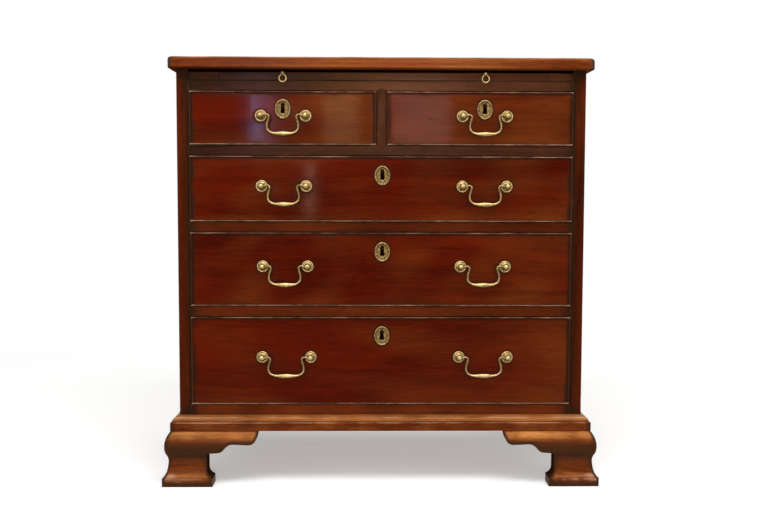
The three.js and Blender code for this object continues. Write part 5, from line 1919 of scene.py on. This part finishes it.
class CHEST_OT_handles(bpy.types.Operator):
    """Makes the eight swan-neck handles: roses, posts, nuts and bails"""

    bl_idname = "chest.handles"
    bl_label = "Handles"

    # Radius and rise of the rose, the post and the nut, in millimetres
    ROSE = (
        (11.0, 0), (11.2, 0.5), (11.0, 1.1), (10.4, 1.55), (9.7, 1.6), (9.1, 1.3), (8.7, 0.9), (8.2, 0.85),
        (7.7, 1.1), (7.0, 1.7), (6.2, 2.1), (5.4, 2.2), (4.9, 2.5), (4.4, 2.9), (3.6, 3.1),
    )
    POST = ((3.6, 2.6), (3.6, 3.6), (3.1, 4.0), (2.6, 4.8), (2.5, 6.4), (2.7, 7.8), (3.1, 8.5))
    NUT = ((0, 0), (5.2, 0), (5.5, 0.3), (5.5, 3.3), (4.8, 4), (2.25, 4))
    NUT_END = ((2.0, 6.8), (0, 7))
    THREADS = 4
    THREAD = (2.2, 1.85)
    PITCH = 0.7
    PIN_HOLE = 2.3 * MM
    PIN_SPARE = 0.4 * MM
    # Where a bail's grip starts below its pins, half the grip's length, and how much it swells
    GRIP_DROP_SHARE = 0.3
    GRIP_HALF_SHARE = 0.275
    GRIP_SWELL_SHARE = 1.06
    SHOULDER = 0.3 * MM

    def execute(self, context):
        brass = context.scene.chest_brass
        for name in DRAWERS:
            drawer = Drawer(name)
            for handle in drawer.handles:
                posts = drawer.posts(handle)
                for letter, way, place in zip("ab", (-1, 1), posts):
                    self.post(drawer, f"{handle}_post_{letter}", *place, way, brass)
                self.bail(handle, posts, brass)
        return {"FINISHED"}

    def post(self, drawer, node, x, z, way, brass):
        middle, seated = (x, FRONT, z), (drawer.body, "brass", node)
        wider = brass.rose / self.ROSE[0][0]
        rose = [(0, 0)] + [(radius * wider, rise * MM) for radius, rise in self.ROSE]
        rose.append((0, self.ROSE[-1][1] * MM))
        disc = turned(f"{node}_rose", rose, middle, 56)
        points = points_of(disc)
        rim = near(np.abs(np.hypot(points[:, 0] - x, points[:, 2] - z) - 10 * MM), 0.9 * MM)
        rubbed_and_highlighted(disc, 0.38 + 0.5 * rim)
        seat(disc, *seated)
        post = [(0, self.POST[0][1] * MM), *in_metres(self.POST)]
        post += ball_outline(brass.ball, BALL_STANDOFF, self.POST[-1][0] * MM, 16)
        piece = turned(f"{node}_ball", post, middle, 40)
        start, end = sorted((x - way * (brass.ball + PAST), x + way * (PIN_REACH + self.PIN_SPARE)))
        cut(piece, [hole_cutter((start, FRONT - BALL_STANDOFF, z), end - start, self.PIN_HOLE, 28)])
        seat(piece, *seated)
        nut = list(self.NUT)
        for step in range(self.THREADS * 2):
            nut.append((self.THREAD[step % 2], self.NUT[-1][1] + step * self.PITCH / 2))
        nut = [(radius, FRONT - drawer.face - rise) for radius, rise in in_metres([*nut, *self.NUT_END])]
        seat(turned(f"{node}_nut", nut[::-1], middle, 6, sharp=30), *seated)

    def bail(self, handle, posts, brass):
        (left, z), (right, _) = posts
        spacing = right - left
        chain = bail_chain(posts)
        along, _, height = np.array(chain).T
        x, drop = np.abs(along - (left + right) / 2), height - z
        swell = np.cos(held(x / (self.GRIP_HALF_SHARE * spacing)) * math.pi / 2) ** 2
        grip = np.where(drop < -self.GRIP_DROP_SHARE * spacing, swell, 0)
        shoulder = bell(drop + 3 * MM, 5 * MM) * (x < spacing / 2 - brass.ball)
        thickness = brass.wire + (brass.grip * self.GRIP_SWELL_SHARE - brass.wire) * grip
        piece = wire(f"{handle}_bail_bar", chain, thickness + self.SHOULDER * shoulder, "brass", 20)
        rubbed_and_highlighted(piece, 0.38 + 0.25 * held((z - points_of(piece)[:, 2]) / (33 * MM)) ** 3)
        seat(piece, f"{handle}_handle", "brass", f"{handle}_bail")


class CHEST_OT_slide(bpy.types.Operator):
    """Makes the brushing slide, with its clamped ends and two ring pulls"""

    bl_idname = "chest.slide"
    bl_label = "Brushing slide"

    WEAR = 0.3
    JOINT = 0.05 * MM
    # Radius and rise of a ring's eye, in millimetres
    EYE = (
        (0, -15), (0.5, -14.6), (1.3, -12), (1.3, 0), (4.2, 0), (4.2, 0.7), (3.7, 1.2), (2.6, 1.4),
        (1.8, 2.0), (1.6, 3.4), (1.7, 4.6),
    )
    EYE_RADIUS = 3.9 * MM
    EYE_STANDOFF = 8 * MM
    PEAR_SHARE = 1.35
    HOLE = 2.6 * MM
    HOLE_LENGTH = 12 * MM
    COLLAR = 3 * MM
    RING_INSET = 0.7 * MM
    RING_POINTS = 48

    def execute(self, context):
        low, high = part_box("slide_panel")
        inner = high.x - context.scene.chest_wood.clamp

        # Painted shade under the top's overhang, at the ends and along the joint over the rail below
        def dirt(points):
            ends = near(high.x - np.abs(points[:, 0]), 10 * MM)
            top = near(high.z - points[:, 2], 3 * MM)
            joint = near(points[:, 2] - low.z, 1 * MM)
            return held(0.8 * ends + 0.5 * top + 0.9 * joint) * near(points[:, 1] - FRONT, 3 * MM)

        def length_of_panel(name, x, grain):
            corners = (x[0], low.y, low.z), (x[1], high.y, high.z)
            looks = {"wear": self.WEAR, "dirt": dirt, "fade": sheen}
            fitted(name, *corners, grain, "slide", "bloom", "slide_panel", **looks)

        length_of_panel("slide_panel_board", (-inner, inner), ALONG_X)
        for side, sign in SIDES.items():
            x = sorted((sign * (inner + self.JOINT), sign * high.x))
            length_of_panel(f"slide_panel_clamp_{side}", x, ALONG_Y)
            self.pull(side)
        return {"FINISHED"}

    def pull(self, side):
        node = f"slide_eye_{side}"
        low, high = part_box(node)
        x, z = (low.x + high.x) / 2, (low.z + high.z) / 2
        neck = in_metres(self.EYE)
        head = ball_outline(self.EYE_RADIUS, self.EYE_STANDOFF, neck[-1][0], 13)
        eye = turned(f"{node}_post", neck + head, (x, FRONT, z), 36)
        start = (x - self.HOLE_LENGTH / 2, FRONT - self.EYE_STANDOFF, z)
        cut(eye, [hole_cutter(start, self.HOLE_LENGTH, self.HOLE, 24)])
        points = points_of(eye)
        raised = (points[:, 2] > z) & (points[:, 1] < FRONT - self.COLLAR)
        points[raised, 2] = z + (points[raised, 2] - z) * self.PEAR_SHARE
        move_points(eye, points)
        rubbed_and_highlighted(eye, 0.4)
        seat(eye, "slide", "brass", node)
        node = f"slide_ring_{side}"
        low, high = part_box(node)
        thick = (high.y - low.y) / 2
        slack = self.HOLE - thick
        smaller = slack / 2 + self.RING_INSET
        middle = Vector((x, (low.y + high.y) / 2, (low.z + high.z) / 2 - slack + smaller))
        radius = (high.x - low.x) / 2 - smaller - thick
        angles = [math.tau * step / self.RING_POINTS for step in range(self.RING_POINTS)]
        chain = [middle + Vector((radius * math.cos(a), 0, radius * math.sin(a))) for a in angles]
        ring = wire(f"{node}_wire", chain, thick, "brass", 14, True)
        rubbed_and_highlighted(ring, 0.75)
        seat(ring, node, "brass", node)


# The stage


class CHEST_OT_stage(bpy.types.Operator):
    """Sets up the floor, the lamps, the world and the camera"""

    bl_idname = "chest.stage"
    bl_label = "Stage"

    CAMERA = (-23.3 * MM, -2014.75 * MM, 559.6 * MM)
    YAW, PITCH, ROLL = 0.899, -3.792, 0.155
    LENS = 44.23
    SENSOR = 36
    FLOOR = 9.0
    FLOOR_COLOURS = ((0.80, 0.80, 0.79, 1.0), (0.83, 0.83, 0.82, 1.0))
    FLOOR_GLOW = 0.34
    FLOOR_FADE = (0.8, 2.2)
    WORLD_LIGHT = 0.32
    # Each lamp's name, place, target, size, power and colour. The narrow ones are seen as reflections
    LAMPS = (
        ("overhead", (0.1, -1.45, 2.7), (0.0, -0.2, 0.45), (2.6, 1.1), 57.0, (1.0, 1.0, 1.0)),
        ("left", (-2.6, -1.9, 1.7), (0.0, 0.0, 0.45), (1.2, 1.8), 20.0, (1.0, 1.0, 1.0)),
        ("right", (2.7, -1.6, 1.5), (0.0, 0.0, 0.45), (1.2, 1.8), 15.0, (1.0, 1.0, 1.0)),
        ("behind", (0.4, 2.6, 2.4), (0.0, 0.0, 0.5), (2.2, 1.4), 24.0, (1.0, 1.0, 1.0)),
        ("window", (-0.57, -3.0, 0.976), (-0.57, -0.23, 0.976), (0.026, 0.39), 4.6, (0.38, 0.52, 1.0)),
        ("curtain", (-0.519, -3.0, 0.976), (-0.519, -0.23, 0.976), (0.078, 0.39), 2.6, (0.85, 0.6, 1.0)),
        ("doorway", (-0.16, -3.0, 0.985), (-0.16, -0.23, 0.985), (0.167, 0.39), 7.0, (1.0, 0.66, 0.3)),
        ("frame", (-0.312, -3.0, 0.6), (-0.312, -0.23, 0.6), (0.03, 0.3), 1.8, (1.0, 0.76, 0.5)),
        ("wall", (0.225, -3.0, 0.985), (0.225, -0.23, 0.985), (0.278, 0.39), 7.0, (1.0, 0.8, 0.85)),
    )

    def execute(self, context):
        self.floor()
        self.world(context.scene)
        for lamp in self.LAMPS:
            self.lamp(*lamp)
        self.camera(context.scene)
        context.scene.view_settings.view_transform = "Standard"
        return {"FINISHED"}

    def floor(self):
        half = self.FLOOR
        corners = [(-half, -half, 0), (half, -half, 0), (half, half, 0), (-half, half, 0)]
        floor = new_object("floor", new_mesh("floor", corners, [(0, 1, 2, 3)]))
        material, sums, shader = start_material("Floor")
        place = sums.add("ShaderNodeTexCoord").outputs["Object"]
        clouds = sums.noise(place, (1.5, 1.5, 1.5), 2.0)
        sums.put(shader["Base Color"], sums.mix(clouds, *self.FLOOR_COLOURS))
        shader["Roughness"].default_value = 0.8
        shader["Specular IOR Level"].default_value = 0.1
        away = sums.add("ShaderNodeVectorMath", {0: place}, operation="LENGTH").outputs["Value"]
        seen = self.seen(sums)
        sums.put(shader["Emission Color"], WHITE)
        sums.put(shader["Emission Strength"], sums.times(seen, self.FLOOR_GLOW))
        far = sums.times(seen, sums.ramp(away, *self.FLOOR_FADE))
        white = sums.of("ShaderNodeEmission", {"Color": WHITE, "Strength": 1.0})
        end = next(node for node in material.node_tree.nodes if node.type == "OUTPUT_MATERIAL")
        lit = end.inputs["Surface"].links[0].from_socket
        sums.put(end.inputs["Surface"], sums.of("ShaderNodeMixShader", {0: far, 1: lit, 2: white}))
        floor.data.materials.append(material)

    def seen(self, sums):
        """1 for the rays that show the surroundings themselves, and 0 for those that light the chest."""
        path = sums.add("ShaderNodeLightPath").outputs
        mirrored = sums.math("MAXIMUM", path["Is Glossy Ray"], path["Is Transmission Ray"])
        return sums.math("MAXIMUM", path["Is Camera Ray"], mirrored)

    def world(self, scene):
        world = bpy.data.worlds.new("Studio")
        world.use_nodes = True
        world.node_tree.nodes.clear()
        sums = Sums(world.node_tree)
        strength = sums.ramp(self.seen(sums), 0.0, 1.0, self.WORLD_LIGHT, 1.0)
        background = sums.of("ShaderNodeBackground", {"Color": WHITE, "Strength": strength})
        sums.add("ShaderNodeOutputWorld", {"Surface": background})
        scene.world = world

    def lamp(self, name, place, target, size, power, tint):
        light = bpy.data.lights.new(name, "AREA")
        light.shape = "RECTANGLE"
        light.size, light.size_y = size
        light.energy = power
        light.color = tint
        lamp = new_object(f"lamp_{name}", light)
        lamp.location = place
        lamp.rotation_euler = (Vector(target) - Vector(place)).to_track_quat("-Z", "Y").to_euler()

    def camera(self, scene):
        lens = bpy.data.cameras.new("camera")
        lens.lens = self.LENS
        lens.sensor_width = self.SENSOR
        lens.sensor_fit = "HORIZONTAL"
        camera = new_object("camera", lens)
        place = Matrix.Translation(self.CAMERA)
        for angle, axis in ((-self.YAW, "Z"), (90 + self.PITCH, "X"), (self.ROLL, "Z")):
            place = place @ Matrix.Rotation(math.radians(angle), 4, axis)
        camera.matrix_world = place
        scene.camera = camera


OPERATORS = (
    CHEST_OT_top,
    CHEST_OT_sides,
    CHEST_OT_rails,
    CHEST_OT_back,
    CHEST_OT_moulding,
    CHEST_OT_feet,
    CHEST_OT_slide,
    CHEST_OT_fronts,
    CHEST_OT_boxes,
    CHEST_OT_locks,
    CHEST_OT_handles,
    CHEST_OT_stage,
)


class CHEST_PT_panel(bpy.types.Panel):
    """Lists the pieces of the chest"""

    bl_idname = "CHEST_PT_panel"
    bl_label = "Bachelor's chest"
    bl_space_type = "VIEW_3D"
    bl_region_type = "UI"
    bl_category = "Chest"

    def draw(self, context):
        for operator in OPERATORS:
            self.layout.operator(operator.bl_idname)


CLASSES = (ChestWoodSizes, ChestBrassSizes, ChestFinishes, *OPERATORS, CHEST_PT_panel)


def register():
    for each in CLASSES:
        bpy.utils.register_class(each)
    bpy.types.Scene.chest_wood = PointerProperty(type=ChestWoodSizes)
    bpy.types.Scene.chest_brass = PointerProperty(type=ChestBrassSizes)
    bpy.types.Scene.chest_finishes = PointerProperty(type=ChestFinishes)


def unregister():
    del bpy.types.Scene.chest_finishes
    del bpy.types.Scene.chest_brass
    del bpy.types.Scene.chest_wood
    for each in reversed(CLASSES):
        bpy.utils.unregister_class(each)


def main():
    register()
    for operator in OPERATORS:
        family, name = operator.bl_idname.split(".")
        getattr(getattr(bpy.ops, family), name)()


if __name__ == "__main__":
    main()
